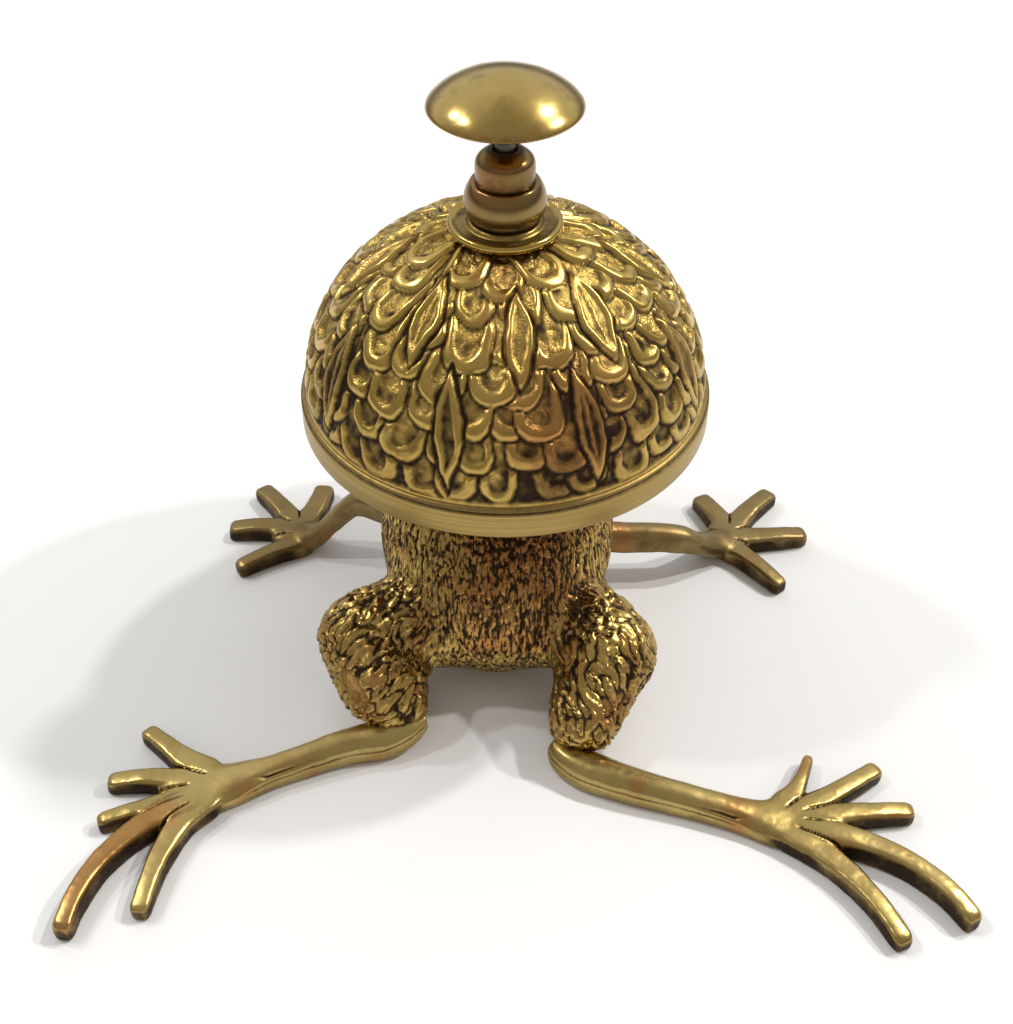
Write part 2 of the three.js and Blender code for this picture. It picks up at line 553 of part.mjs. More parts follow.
const plunger = new THREE.Group();
addPiece(plunger, 'push_knob', pushKnob(), polishedBrass);
addPiece(plunger, 'plunger_rod', plungerRod(), steel);
addPiece(plunger, 'retaining_clip', retainingClip(), steel);

const striker = new THREE.Group();
striker.position.set(0, PIVOT.y, PIVOT.z);
striker.rotation.x = THREE.MathUtils.degToRad(SWING / 2);
addPiece(striker, 'striker_arm', strikerArm(), steel);
addPiece(striker, 'hammer_head', hammerHead(), polishedBrass);

frogBell.add(frog, frame, stack, plunger, striker);

export default frogBell;
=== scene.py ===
"""The looks of the frog counter bell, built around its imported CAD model."""
import math
from math import radians

import bmesh
import bpy
import numpy as np
from mathutils import Euler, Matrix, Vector


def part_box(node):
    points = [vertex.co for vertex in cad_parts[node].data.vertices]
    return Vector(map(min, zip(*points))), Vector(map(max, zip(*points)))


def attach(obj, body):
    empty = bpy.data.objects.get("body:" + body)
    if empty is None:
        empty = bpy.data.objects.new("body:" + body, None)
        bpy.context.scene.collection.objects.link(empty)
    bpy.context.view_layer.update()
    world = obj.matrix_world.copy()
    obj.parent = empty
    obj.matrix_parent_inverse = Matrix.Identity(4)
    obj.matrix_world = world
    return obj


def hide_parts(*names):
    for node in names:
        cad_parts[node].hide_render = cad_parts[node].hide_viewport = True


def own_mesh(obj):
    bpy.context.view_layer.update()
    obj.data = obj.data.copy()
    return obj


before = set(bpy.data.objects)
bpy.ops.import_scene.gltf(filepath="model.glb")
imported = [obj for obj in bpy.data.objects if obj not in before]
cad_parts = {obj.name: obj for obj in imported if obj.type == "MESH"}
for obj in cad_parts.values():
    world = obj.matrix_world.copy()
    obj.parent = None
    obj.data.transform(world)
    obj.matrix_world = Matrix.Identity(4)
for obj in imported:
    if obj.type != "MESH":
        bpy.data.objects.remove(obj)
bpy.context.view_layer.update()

# ---------- measures ----------
# Shapes are made in millimetres about the bell's own axis, with the frog's head towards +Y,
# and moved into the row's frame at the end.
MM = 0.001
DOME_LOW, DOME_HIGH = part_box("bell_dome")
AXIS = (DOME_LOW + DOME_HIGH) / 2
RIM_HEIGHT = DOME_LOW.z / MM
RIM_RADIUS = (DOME_HIGH.x - DOME_LOW.x) / 2 / MM
BAND_HEIGHT = 6
SHELL_FOOT = RIM_HEIGHT + BAND_HEIGHT
SHELL_RADIUS = RIM_RADIUS - 1.2
SHELL_RISE = 32.2
WALL = 2.2
TUBE_HOLE = 3.3
COLLAR_RADIUS = 10
COLLAR_FOOT = 90.1
BULB_FOOT = 92.1
BULB_MIDDLE = 95.3
BULB_RADIUS = 7.1
BULB_TOP = 98.88
CAP_FOOT = 98.9
CAP_RADIUS = 5.1
CAP_WALL_TOP = 102
KNOB_RADIUS = 12.95
KNOB_MIDDLE = 112.2
ROD_RADIUS = 1.7
ROD_FOOT = 70.45
ROD_TOP = 114

TORSO = {"at": (-1.6, -2, 24), "half": (23.3, 31, 19), "pitch": 30}
HEAD = {"at": (-1, 25, 35), "half": (18.5, 17, 11), "pitch": 12}
EYES = [(-12.5, 30, 43), (10.5, 30, 43)]
EYE_HALF = (5.4, 5.8, 5.6)
MOUTH = {"size": (44, 16, 0.9), "at": (-1, 37, 32.6)}
BELLY_OPENING = {"size": (20, 24, 16), "at": (-1.5, -7, 4)}
BODY_UNDERSIDE = 0.8
PAD_RADIUS = 15.5
PAD_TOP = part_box("base_plate")[0].z / MM - 0.3
# Each leg and the rump as balls (x, y, z, radius) run together.
LEFT_LEG = [(-12, -17, 15, 9.5), (-27.3, -25, 14, 9), (-23.6, -31.6, 9.8, 8.8), (-21.6, -34.4, 7, 6.9)]
RIGHT_LEG = [(10, -16, 15, 9.5), (19.5, -28.5, 13.5, 9.6), (15, -39.8, 8.2, 6.8)]
RUMP = [(-13, -22, 13, 7.5), (10, -22, 13, 7.5)]
CASTING_WALL = 4

# What the skin's cells run along, and their length and width: strokes on the back, flats on the thighs, and
# a smooth filed patch on the left calf.
FUR_PITCH = 67.5
FUR_ALONG = np.array([0, math.cos(radians(FUR_PITCH)), math.sin(radians(FUR_PITCH))])
FINE_STROKES = (FUR_ALONG, 3.6, 0.9)
COARSE_STROKES = (FUR_ALONG + np.array([0.25, 0, 0]), 6.5, 2.3)
LEFT_FLATS = ((0.64, 0.51, 0.57), 3.9, 1.2)
RIGHT_FLATS = ((-0.42, 0.61, 0.67), 4.0, 1.3)
SCOOP_CELL = ((0.66, -0.5, -0.56), 5.4, 2.3)
SCOOP = np.array([-29.4, -37.4, 13.5])
SCOOP_DEPTH = 0.7
# The left heel, where the leg meets the foot; painted shade darkens the skin round it.
LEFT_HEEL = np.array([-17.5, -38.5, 5.0])
BACK_DEPTH, THIGH_DEPTH, FACE_DEPTH = 0.5, 0.6, 0.45
LEVEL_FORM = 0.62
CELL_SCATTER = 0.8
FIRST_VOXEL = 0.9
SKIN_VOXEL = 0.32
BAR_VOXEL = 0.3
MOST_FACES = 190000

PALM_HEIGHT = 4
TIP_DROP = 0.7
GROOVE_DEPTH = 0.8
PARTING_DEPTH = 0.1


# ---------- numbers over many points ----------
def ease(low, high, value):
    """A smooth step from 0 at low to 1 at high. It falls instead if low is the greater."""
    t = np.clip((value - low) / (high - low), 0, 1)
    return t * t * (3 - 2 * t)


def scramble(cells, seed):
    """A repeatable number from 0 to 1 for each whole-numbered cell."""
    cells = cells.astype(np.int64)
    mixed = cells[..., 0] * 73856093 ^ cells[..., 1] * 19349663 ^ cells[..., 2] * 83492791 ^ seed * 2654435
    mixed = (mixed ^ (mixed >> 13)) * 1274126177 & 0xFFFFFFFF
    mixed = (mixed ^ (mixed >> 16)) * 2246822519 & 0xFFFFFFFF
    return (mixed & 0xFFFFFF) / float(0xFFFFFF)


def soft_noise(points, seed):
    """Smooth noise from 0 to 1, one step per unit of length, a pattern of its own for each seed."""
    corner = np.floor(points)
    part = points - corner
    part = part * part * (3 - 2 * part)
    total = np.zeros(len(points))
    for step in np.ndindex(2, 2, 2):
        weight = np.prod(np.where(step, part, 1 - part), axis=1)
        total += weight * scramble(corner + step, seed)
    return total


def cells_at(points, seed):
    """For one scattered point per unit cell: the nearest one's distance and the second's, the way from
    the nearest, and a number of its own."""
    home = np.floor(points)
    nearest = np.full(len(points), 9.0)
    second = np.full(len(points), 9.0)
    away = np.zeros((len(points), 3))
    mark = np.zeros(len(points))
    for step in np.ndindex(3, 3, 3):
        cell = home + step - 1
        offset = np.stack([scramble(cell, seed + k) for k in range(3)], axis=1)
        way = points - (cell + 0.5 + CELL_SCATTER * (offset - 0.5))
        distance = np.linalg.norm(way, axis=1)
        closer = distance < nearest
        second = np.where(closer, nearest, np.minimum(second, distance))
        nearest = np.where(closer, distance, nearest)
        away[closer] = way[closer]
        mark[closer] = scramble(cell, seed + 7)[closer]
    return nearest, second, away, mark


# ---------- meshes ----------
def mesh_of(name, points, faces):
    mesh = bpy.data.meshes.new(name)
    mesh.from_pydata(np.asarray(points, float).tolist(), [], [list(map(int, face)) for face in faces])
    mesh.update()
    return mesh


def object_of(name, data):
    piece = bpy.data.objects.new(name, data)
    bpy.context.scene.collection.objects.link(piece)
    return piece


def read(items, key, width=3, kind=float):
    flat = np.empty(len(items) * width, kind)
    items.foreach_get(key, flat)
    return flat.reshape(-1, width)


def points_of(mesh):
    return read(mesh.vertices, "co")


def normals_of(mesh):
    return read(mesh.vertices, "normal")


def edges_of(mesh):
    return read(mesh.edges, "vertices", 2, int)


def move_points(mesh, points):
    mesh.vertices.foreach_set("co", np.asarray(points, float).ravel())
    mesh.update()


def spread(values, edges, rounds):
    """Averages a value at each point with its neighbours', some number of times."""
    degree = np.bincount(edges.ravel(), minlength=len(values)).reshape((-1,) + (1,) * (values.ndim - 1))
    for _ in range(rounds):
        total = np.zeros(values.shape)
        np.add.at(total, edges[:, 0], values[edges[:, 1]])
        np.add.at(total, edges[:, 1], values[edges[:, 0]])
        values = 0.5 * values + 0.5 * total / degree
    return values


def bake(piece):
    """Applies the piece's modifiers, and puts the new mesh in place of the old one."""
    graph = bpy.context.evaluated_depsgraph_get()
    mesh = bpy.data.meshes.new_from_object(piece.evaluated_get(graph))
    piece.modifiers.clear()
    old = piece.data
    piece.data = mesh
    bpy.data.meshes.remove(old)


def remesh(piece, size, smooth_rounds):
    modifier = piece.modifiers.new("fuse", "REMESH")
    modifier.mode = "VOXEL"
    modifier.voxel_size = size
    smooth = piece.modifiers.new("soften", "SMOOTH")
    smooth.factor = 0.5
    smooth.iterations = smooth_rounds
    bake(piece)


def grid_faces(rows, columns, closed=False):
    """Faces of a tube of rows of points, each row closing on itself, and a closed tube's last row on its
    first."""
    row, column = np.meshgrid(np.arange(rows if closed else rows - 1), np.arange(columns), indexing="ij")
    beside = (column + 1) % columns
    here = row * columns
    ahead = (row + 1) % rows * columns
    corners = [here + column, here + beside, ahead + beside, ahead + column]
    return np.stack(corners, axis=-1).reshape(-1, 4)


def store(mesh, name, values):
    """Keeps a number from 0 to 1 for each point, for the materials."""
    attribute = mesh.attributes.get(name) or mesh.attributes.new(name, "FLOAT", "POINT")
    attribute.data.foreach_set("value", np.clip(values, 0, 1).astype(np.float32))


def values_of(mesh, name):
    return read(mesh.attributes[name].data, "value", 1, np.float32)[:, 0]


def hollow_and_edge(mesh, size, rounds=2):
    """How far each point lies below (+) or above (-) its neighbourhood, as a share of a size."""
    points = points_of(mesh)
    edges = edges_of(mesh)
    around = spread(points, edges, rounds)
    depth = np.einsum("ij,ij->i", around - points, normals_of(mesh)) / size
    return spread(depth, edges, 1)


def finish_piece(piece, body, material, replaced):
    """Puts a piece made in millimetres about the bell's axis into the row's frame."""
    move_points(piece.data, points_of(piece.data) * MM + [AXIS.x, AXIS.y, 0])
    piece.data.shade_smooth()
    piece.data.materials.clear()
    piece.data.materials.append(material)
    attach(piece, body)
    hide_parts(*replaced)
    return piece


# ---------- materials ----------
class Nodes:
    """Short words for building the nodes of a material or a world."""

    def __init__(self, owner):
        owner.use_nodes = True
        self.tree = owner.node_tree

    def feed(self, socket, value):
        if isinstance(value, bpy.types.NodeSocket):
            self.tree.links.new(value, socket)
        elif socket.type == "RGBA":
            socket.default_value = (*value, 1)
        else:
            socket.default_value = value

    def fill(self, node, values):
        """Feeds a node's inputs by their names."""
        for name, value in values.items():
            self.feed(node.inputs[name], value)
        return node

    def node(self, kind, *values, **settings):
        """A new node with these settings, and its first inputs fed in order."""
        made = self.tree.nodes.new(kind)
        for key, value in settings.items():
            setattr(made, key, value)
        for socket, value in zip(made.inputs, values):
            self.feed(socket, value)
        return made

    def math(self, operation, *values):
        return self.node("ShaderNodeMath", *values, operation=operation).outputs[0]

    def mix(self, factor, a, b, kind="RGBA"):
        made = self.node("ShaderNodeMix", factor, data_type=kind)
        first, out = {"RGBA": (6, 2), "FLOAT": (2, 0)}[kind]
        self.feed(made.inputs[first], a)
        self.feed(made.inputs[first + 1], b)
        return made.outputs[out]

    def between(self, value, low, high, to_low=0.0, to_high=1.0):
        return self.node("ShaderNodeMapRange", value, low, high, to_low, to_high,
                         interpolation_type="SMOOTHSTEP").outputs[0]

    def attribute(self, name):
        return self.node("ShaderNodeAttribute", attribute_name=name).outputs["Fac"]

    def place(self, stretch=(1, 1, 1), pitch=0):
        """Object coordinates turned about X, then drawn out along each axis."""
        mapping = self.node("ShaderNodeMapping", vector_type="TEXTURE")
        return self.fill(mapping, {
            "Vector": self.node("ShaderNodeTexCoord").outputs["Object"],
            "Rotation": (radians(pitch), 0, 0),
            "Scale": stretch,
        }).outputs[0]

    def noise(self, scale, detail=4.0, place=None, roughness=0.55):
        return self.fill(self.node("ShaderNodeTexNoise"), {
            "Vector": place or self.place(), "Scale": scale, "Detail": detail, "Roughness": roughness,
        }).outputs[0]

    def bump(self, height, strength):
        return self.fill(self.node("ShaderNodeBump"), {
            "Strength": strength, "Distance": BUMP_DEPTH, "Height": height,
        }).outputs[0]


GOLD = (0.60, 0.42, 0.125)
COPPER = (0.42, 0.165, 0.055)
# Dark brown of the patina in hollows, also used for painted shade.
DARK_PATINA_AND_SHADE = (0.032, 0.0165, 0.0065)
PATINA_ROUGHNESS = 0.55
BUMP_DEPTH = 0.00006
STIPPLE_BUMP, FUR_BUMP = 22.0, 2.2
FUR_CONTRAST, SMOOTH_CONTRAST = 4.8, 0.4


def brass(name, light, deep, roughness, grain, copper=0.15, band=None, fur=False):
    """Brass whose hollows hold a brown patina; the same dark brown is also painted as shade where the mesh
    asks for it. The mesh says where patina and painted shade lie, where copper shows and where the surface
    is stippled. A band, given as two colours and a roughness, is turned instead: satin, with fine lines
    round it. Fur is fine strokes along the frog's back, over the ones in the mesh."""
    material = bpy.data.materials.new(name)
    n = Nodes(material)
    broad = n.noise(55.0)
    fine = n.noise(900.0)
    blotch = n.noise(130.0, 5.0)
    tint = n.mix(n.between(broad, 0.35, 0.65), light, deep)
    reddish = n.math("MAXIMUM", n.between(blotch, 0.56, 0.74, 0.0, copper),
                     n.math("MULTIPLY", n.attribute("copper"), n.between(broad, 0.3, 0.6, 0.6, 1.0)))
    tint = n.mix(reddish, tint, COPPER)
    uneven = n.math("MULTIPLY_ADD", n.math("SUBTRACT", fine, 0.5), 0.5, n.attribute("patina_and_shade"))
    if fur:
        strokes_in_skin = n.noise(1900.0, place=n.place((1, 5.0, 1), FUR_PITCH), roughness=0.6)
        uneven = n.math("MULTIPLY_ADD", n.math("SUBTRACT", 0.52, strokes_in_skin),
                        n.math("MULTIPLY_ADD", n.attribute("stipple"), FUR_CONTRAST, SMOOTH_CONTRAST),
                        uneven)
    # How much of the dark brown shows: patina, and painted shade where the mesh asks for it.
    dirt_and_shade = n.between(uneven, 0.0, 1.0)
    polish = n.between(blotch, 0.3, 0.7, roughness - 0.04, roughness + 0.08)
    height = n.noise(2000.0)
    if fur:
        fur_height = n.math("MULTIPLY", n.attribute("stipple"), FUR_BUMP)
        height = n.math("MULTIPLY_ADD", strokes_in_skin, fur_height, height)
    else:
        stipple_height = n.math("MULTIPLY_ADD", n.attribute("stipple"), STIPPLE_BUMP, 1.0)
        height = n.math("MULTIPLY", height, stipple_height)
    if band:
        is_band = n.attribute("band")
        lines = n.noise(22.0, place=n.place((1, 1, 0.009)))
        tint = n.mix(is_band, tint, n.mix(n.between(lines, 0.3, 0.7), band[0], band[1]))
        turned = n.between(lines, 0.3, 0.7, band[2] - 0.05, band[2] + 0.07)
        polish = n.mix(is_band, polish, turned, "FLOAT")
        height = n.mix(is_band, height, lines, "FLOAT")
    n.fill(n.tree.nodes["Principled BSDF"], {
        "Base Color": n.mix(dirt_and_shade, tint, DARK_PATINA_AND_SHADE),
        "Metallic": n.between(dirt_and_shade, 0.2, 1.0, 1.0, 0.6),
        "Specular IOR Level": 0.25,
        "Roughness": n.mix(dirt_and_shade, polish, PATINA_ROUGHNESS, "FLOAT"),
        "Normal": n.bump(height, grain),
    })
    return material


SKIN_BRASS = brass("skin_brass", GOLD, (0.46, 0.30, 0.095), 0.26, copper=0.35, grain=0.4, fur=True)
DOME_BRASS = brass("dome_brass", GOLD, (0.50, 0.345, 0.09), 0.25, copper=0.2, grain=0.3,
                   band=((0.40, 0.285, 0.10), (0.34, 0.24, 0.08), 0.38))
FILED_BRASS = brass("filed_brass", (0.49, 0.37, 0.14), (0.38, 0.275, 0.095), 0.3, grain=0.3)
ARM_BRASS = brass("arm_brass", (0.29, 0.21, 0.088), (0.22, 0.155, 0.06), 0.36, copper=0.2, grain=0.4)
COLLAR_BRASS = brass("collar_brass", (0.50, 0.355, 0.10), (0.40, 0.275, 0.075), 0.18, grain=0.08)
KNOB_BRASS = brass("knob_brass", (0.52, 0.375, 0.125), (0.46, 0.32, 0.095), 0.15, copper=0.12, grain=0.06)
NUT_BRASS = brass("nut_brass", (0.27, 0.19, 0.075), (0.20, 0.13, 0.05), 0.2, copper=0.1, grain=0.08)
STEEL = brass("steel", (0.34, 0.33, 0.30), (0.25, 0.24, 0.21), 0.3, copper=0.05, grain=0.1)
FIBRE = brass("fibre", (0.10, 0.035, 0.02), (0.07, 0.025, 0.015), 0.7, copper=0.0, grain=0.6)


# ---------- turned pieces ----------
def rounded(profile, radius, steps=4):
    """The [radius, height] profile with its inner corners rounded off."""
    points = [np.array(point, float) for point in profile]
    made = [points[0]]
    for before, corner, after in zip(points, points[1:], points[2:]):
        back = before - corner
        ahead = after - corner
        reach = min(radius, np.linalg.norm(back) * 0.45, np.linalg.norm(ahead) * 0.45)
        start = corner + back / np.linalg.norm(back) * reach
        end = corner + ahead / np.linalg.norm(ahead) * reach
        for t in np.linspace(0, 1, steps + 1):
            made.append((1 - t) ** 2 * start + 2 * t * (1 - t) * corner + t * t * end)
    return np.array(made + [points[-1]])


def arc(centre_height, radius, rise, start, end, steps):
    angles = np.radians(np.linspace(start, end, steps + 1))
    return [[radius * math.cos(a), centre_height + rise * math.sin(a)] for a in angles]


def lathe(name, profile, columns=160, closed=False):
    """Turns a profile about the bell's axis. A closed one comes back to its start, round a hole."""
    profile = np.asarray(profile, float)
    angles = np.linspace(0, 2 * math.pi, columns, endpoint=False)
    radius = profile[:, 0][:, None]
    height = np.broadcast_to(profile[:, 1][:, None], (len(profile), columns))
    points = np.stack([radius * np.cos(angles), radius * np.sin(angles), height], axis=-1).reshape(-1, 3)
    mesh = mesh_of(name, points, grid_faces(len(profile), columns, closed))
    if not closed:
        weld(mesh, 1e-4)
    piece = object_of(name, mesh)
    store(mesh, "patina_and_shade", 0.9 * ease(0.12, 0.5, hollow_and_edge(mesh, 0.1)))
    return piece


def weld(mesh, distance):
    shape = bmesh.new()
    shape.from_mesh(mesh)
    bmesh.ops.remove_doubles(shape, verts=shape.verts, dist=distance)
    shape.to_mesh(mesh)
    shape.free()


# ---------- bell dome ----------
SCALE_ROWS = 7
FIRST_ROW = 20
ROW_STEP = 10.3
SCALE_WIDTH = 7.3
SCALE_LENGTH = 8.5
SHELL_MEAN = (SHELL_RADIUS + SHELL_RISE) / 2
# Leaves as azimuths from the camera's side, then polar angle, half length and half width of each tier.
UPPER_LEAVES = ((-132, -87, -35, 5.5, 41, 89, 137, 182), 39, 8.8, 2.9)
LOWER_LEAVES = ((-157, -110, -60, -16.5, 24.7, 68, 113, 158), 67.5, 11.2, 2.7)


def scale_stamps():
    """Rows of overlapping scales, from the rim up. A stamp is (azimuth, polar angle, slant, half width,
    squareness)."""
    chance = np.random.default_rng(11)
    stamps = []
    for row in reversed(range(SCALE_ROWS)):
        polar = FIRST_ROW + ROW_STEP * row
        around = 2 * math.pi * SHELL_RADIUS * math.sin(radians(polar))
        count = round(around / SCALE_WIDTH)
        for k in range(count):
            azimuth = 360 / count * (k + 0.5 * (row % 2) + 0.22 * chance.uniform(-1, 1))
            stamps.append((azimuth, polar + chance.uniform(-1.8, 1.8), chance.uniform(-18, 18),
                           SCALE_WIDTH * chance.uniform(0.46, 0.58), chance.uniform(2, 3)))
    return stamps


def leaf_stamps():
    """Two staggered tiers of long leaves. A stamp is (azimuth, polar angle, slant, half length, half width,
    has a midrib)."""
    chance = np.random.default_rng(5)
    stamps = []
    for azimuths, polar, half_length, half_width in (UPPER_LEAVES, LOWER_LEAVES):
        for k, azimuth in enumerate(azimuths):
            stamps.append((azimuth, polar + chance.uniform(-1, 1), chance.uniform(-8, 8), half_length,
                           half_width * chance.uniform(0.9, 1.08), k % 2 == 0))
    return stamps


def dome_relief(azimuth, polar, points):
    """The embossing at each point: its height over the plain shell, its patina, and how stippled it is."""
    radius = SHELL_RADIUS * np.sin(polar)
    sway = [0.55 * (2 * soft_noise(points / 4.6, seed) - 1)
            + 0.26 * (2 * soft_noise(points / 1.7, seed + 5) - 1) for seed in (21, 22)]
    stipple = 0.6 * soft_noise(points / 0.8, 31) + 0.4 * soft_noise(points / 1.5, 33) - 0.5
    swell = soft_noise(points / 2.2, 35) - 0.5
    crevice = 0.22 + 0.46 * soft_noise(points / 2.0, 37)
    height = -0.4 + 0.7 * stipple
    patina_and_shade = 0.5 + 1.1 * stipple
    rough = np.ones(len(points))

    def local(stamp_azimuth, stamp_polar, slant):
        """How far each point lies across and down from a stamp's middle."""
        turn = (azimuth - radians(stamp_azimuth) + math.pi) % (2 * math.pi) - math.pi
        across = radius * turn + sway[0]
        down = SHELL_MEAN * (polar - radians(stamp_polar)) + sway[1]
        slant = radians(slant)
        x = across * math.cos(slant) + down * math.sin(slant)
        y = down * math.cos(slant) - across * math.sin(slant)
        return x, y

    def press(near, inside, new_height, new_patina, new_rough, width):
        """Lays a stamp over what is there, with a dark crevice round it."""
        edge = near & (inside > -width) & (inside <= 0)
        cut = ease(1, 0.25, -inside / width)
        height[edge] = (height - (0.8 + height) * cut)[edge]
        patina_and_shade[edge] = np.maximum(patina_and_shade, 0.78 * cut)[edge]
        on = near & (inside > 0)
        height[on] = new_height[on]
        patina_and_shade[on] = new_patina[on]
        rough[on] = new_rough[on]

    for *place, half, power in scale_stamps():
        x, y = local(*place)
        near = (np.abs(x) < half + 1) & (y > -SCALE_LENGTH) & (y < half + 1)
        bottom = (np.abs(x) ** power + np.clip(0.9 * y, 0, None) ** power) ** (1 / power)
        inside = np.where(near, half * (1 + 0.02 * y) - bottom, -9)
        well = 0.6 * half - np.hypot(x, 0.8 * np.clip(y + 0.5, 0, None))
        recess = ease(-0.1, 0.32, well)
        border = ease(-0.1, 0.8, inside)
        lift = 0.2 * ease(-SCALE_LENGTH, 3, y)
        lie = -0.5 + 0.5 * border + lift - 0.8 * recess + 0.3 * swell + stipple * recess
        dark = 0.85 * ease(0.2, 0, inside) + recess * (0.3 + 1.9 * stipple)
        press(near, inside, lie, dark, recess, crevice)
    for *place, half_length, half_width, has_midrib in leaf_stamps():
        x, y = local(*place)
        long_share = np.abs(y) / half_length
        near = (np.abs(x) < half_width + 1) & (long_share < 1.1)
        inside = np.where(near, half_width * (1 - long_share ** 1.7) - np.abs(x), -9)
        recess = ease(0.95, 1.4, inside) if has_midrib else ease(1.15, 1.6, inside)
        rib = has_midrib * recess * ease(0.5, 0.1, np.abs(x))
        border = ease(0, 0.55, inside)
        lie = -0.45 + 0.68 * border - 0.6 * recess + 0.4 * rib + 0.1 * swell + 0.2 * stipple * recess
        dark = 0.8 * ease(0.25, 0, inside) + recess * (0.36 + 0.9 * stipple) * (1 - rib)
        press(near, inside, lie, dark, 0.6 * recess, 1.7 * crevice)
    return height, patina_and_shade, rough


def bell_dome():
    """The embossed shell, with a turned band and a double groove at its rim."""
    inside_radius = SHELL_RADIUS - WALL
    inner = arc(SHELL_FOOT, inside_radius, SHELL_RISE - WALL, 84.5, 0, 9)
    groove = [(0.05, -1.2), (0.5, -1.0), (0.4, -0.75), (0.65, -0.4), (1.1, -0.2)]
    band = rounded([
        [inside_radius, SHELL_FOOT], [inside_radius, RIM_HEIGHT], [RIM_RADIUS, RIM_HEIGHT],
        *[[RIM_RADIUS - inset, SHELL_FOOT + above] for inset, above in groove],
        [SHELL_RADIUS, SHELL_FOOT + 0.2],
    ], 0.3, 2)[1:]
    skirt = np.concatenate([inner, band])
    embossed_from, embossed_to = 89.4, 13.5
    rows, columns = 119, 640
    polar = np.radians(np.append(np.linspace(embossed_from, embossed_to, rows), [10, 5.1]))
    shell = np.stack([SHELL_RADIUS * np.sin(polar), SHELL_FOOT + SHELL_RISE * np.cos(polar)], axis=-1)
    piece = lathe("dome_shell", np.concatenate([skirt, shell]), columns, closed=True)
    mesh = piece.data
    points = points_of(mesh)
    first = len(skirt) * columns
    on_shell = points[first:]
    azimuth = np.arctan2(on_shell[:, 0], -on_shell[:, 1])
    angle = np.repeat(polar, columns)
    height, patina_and_shade, rough = dome_relief(azimuth, angle, on_shell)
    fade = ease(radians(embossed_from), radians(88.2), angle)
    fade *= ease(radians(11), radians(15), angle)
    sideways = np.sin(angle) / SHELL_RADIUS
    outward = np.stack([np.sin(azimuth) * sideways, -np.cos(azimuth) * sideways,
                        np.cos(angle) / SHELL_RISE], axis=-1)
    outward /= np.linalg.norm(outward, axis=1)[:, None]
    relief = np.zeros(len(points))
    relief[first:] = height * fade
    edges = edges_of(mesh)
    relief[first:] = spread(relief, edges, 1)[first:]
    moved = points.copy()
    moved[first:] += outward * relief[first:, None]
    darkening = 0.9 * ease(0.15, 0.6, hollow_and_edge(mesh, 0.1))
    darkening = np.maximum(darkening, 0.75 * ease(0.3, 0.1, np.abs(moved[:, 2] - SHELL_FOOT + 1.0)))
    darkening = np.maximum(darkening, 0.35 * ease(0.8, 0.4, np.abs(moved[:, 2] - SHELL_FOOT + 0.6)))
    move_points(mesh, moved)
    # The rows towards the rim are darker.
    lower = 0.32 * ease(radians(50), radians(80), angle)
    patches = 0.3 * ease(0.45, 0.8, soft_noise(on_shell / 9.0, 39))
    patches *= ease(radians(25), radians(60), angle)
    darkening[first:] = (patina_and_shade + lower + patches) * fade + 0.45 * (1 - fade)
    darkening = spread(darkening, edges, 1)
    creases = hollow_and_edge(mesh, 0.12)
    store(mesh, "patina_and_shade", darkening + 0.4 * np.clip(creases, -0.6, 0.8))
    stipple = np.zeros(len(points))
    stipple[first:] = rough * fade
    store(mesh, "stipple", stipple)
    store(mesh, "band", moved[:, 2] < SHELL_FOOT - 0.2)
    red = np.zeros(len(points))
    blush_across = (azimuth - radians(20)) * np.sin(angle)
    blush = ease(17, 5, SHELL_MEAN * np.hypot(blush_across, angle - radians(66)))
    red[first:] = np.maximum(0.75 * blush, 0.35 * ease(0.6, 0.85, soft_noise(on_shell / 12.0, 43)))
    red = np.maximum(red, 0.9 * ease(0.6, 0.3, np.abs(moved[:, 2] - SHELL_FOOT + 0.6)))
    store(mesh, "copper", red)
    return piece


# ---------- collar, nuts, knob, rod, hammer and spring ----------
def dished_collar():
    lip = COLLAR_RADIUS - 0.5
    profile = rounded([
        [TUBE_HOLE, 0.9], [lip - 0.4, 0], [COLLAR_RADIUS - 0.2, 0.2], [COLLAR_RADIUS, 0.65],
        [COLLAR_RADIUS, 1.2], [lip + 0.2, 1.6], [lip - 0.25, 1.65], [lip - 0.7, 1.3], [lip - 1.1, 1],
        [lip - 2.7, 1.05], [lip - 3.2, 1.8], [TUBE_HOLE, 1.9],
    ], 0.3) + [0, COLLAR_FOOT]
    piece = lathe("collar_dish", profile[:-1], closed=True)
    points = points_of(piece.data)
    from_axis = np.hypot(points[:, 0], points[:, 1])
    darkening = 0.5 * ease(lip - 0.6, lip - 1.1, from_axis) * (0.6 + 0.8 * soft_noise(points / 2.5, 95))
    # Patina lies in the dish; the foot, where the collar sits on the dome, is darkened with painted shade.
    store(piece.data, "patina_and_shade", darkening + 0.5 * ease(COLLAR_FOOT + 0.6, COLLAR_FOOT + 0.1, points[:, 2]))
    return piece


def bulb_nut():
    profile = rounded([
        [TUBE_HOLE, BULB_FOOT], [5.9, BULB_FOOT], [6.1, BULB_FOOT + 0.3], [6.1, BULB_FOOT + 0.8],
        [5.9, BULB_FOOT + 1.05], [6.4, BULB_FOOT + 1.15],
        *arc(BULB_MIDDLE, BULB_RADIUS, 6.2, -16, 35, 14), [5.2, BULB_TOP], [TUBE_HOLE, BULB_TOP],
    ], 0.14, 2)
    return blotched_and_darker_below(lathe("bulb_barrel", profile[:-1], closed=True), BULB_MIDDLE, BULB_MIDDLE - 2.2)


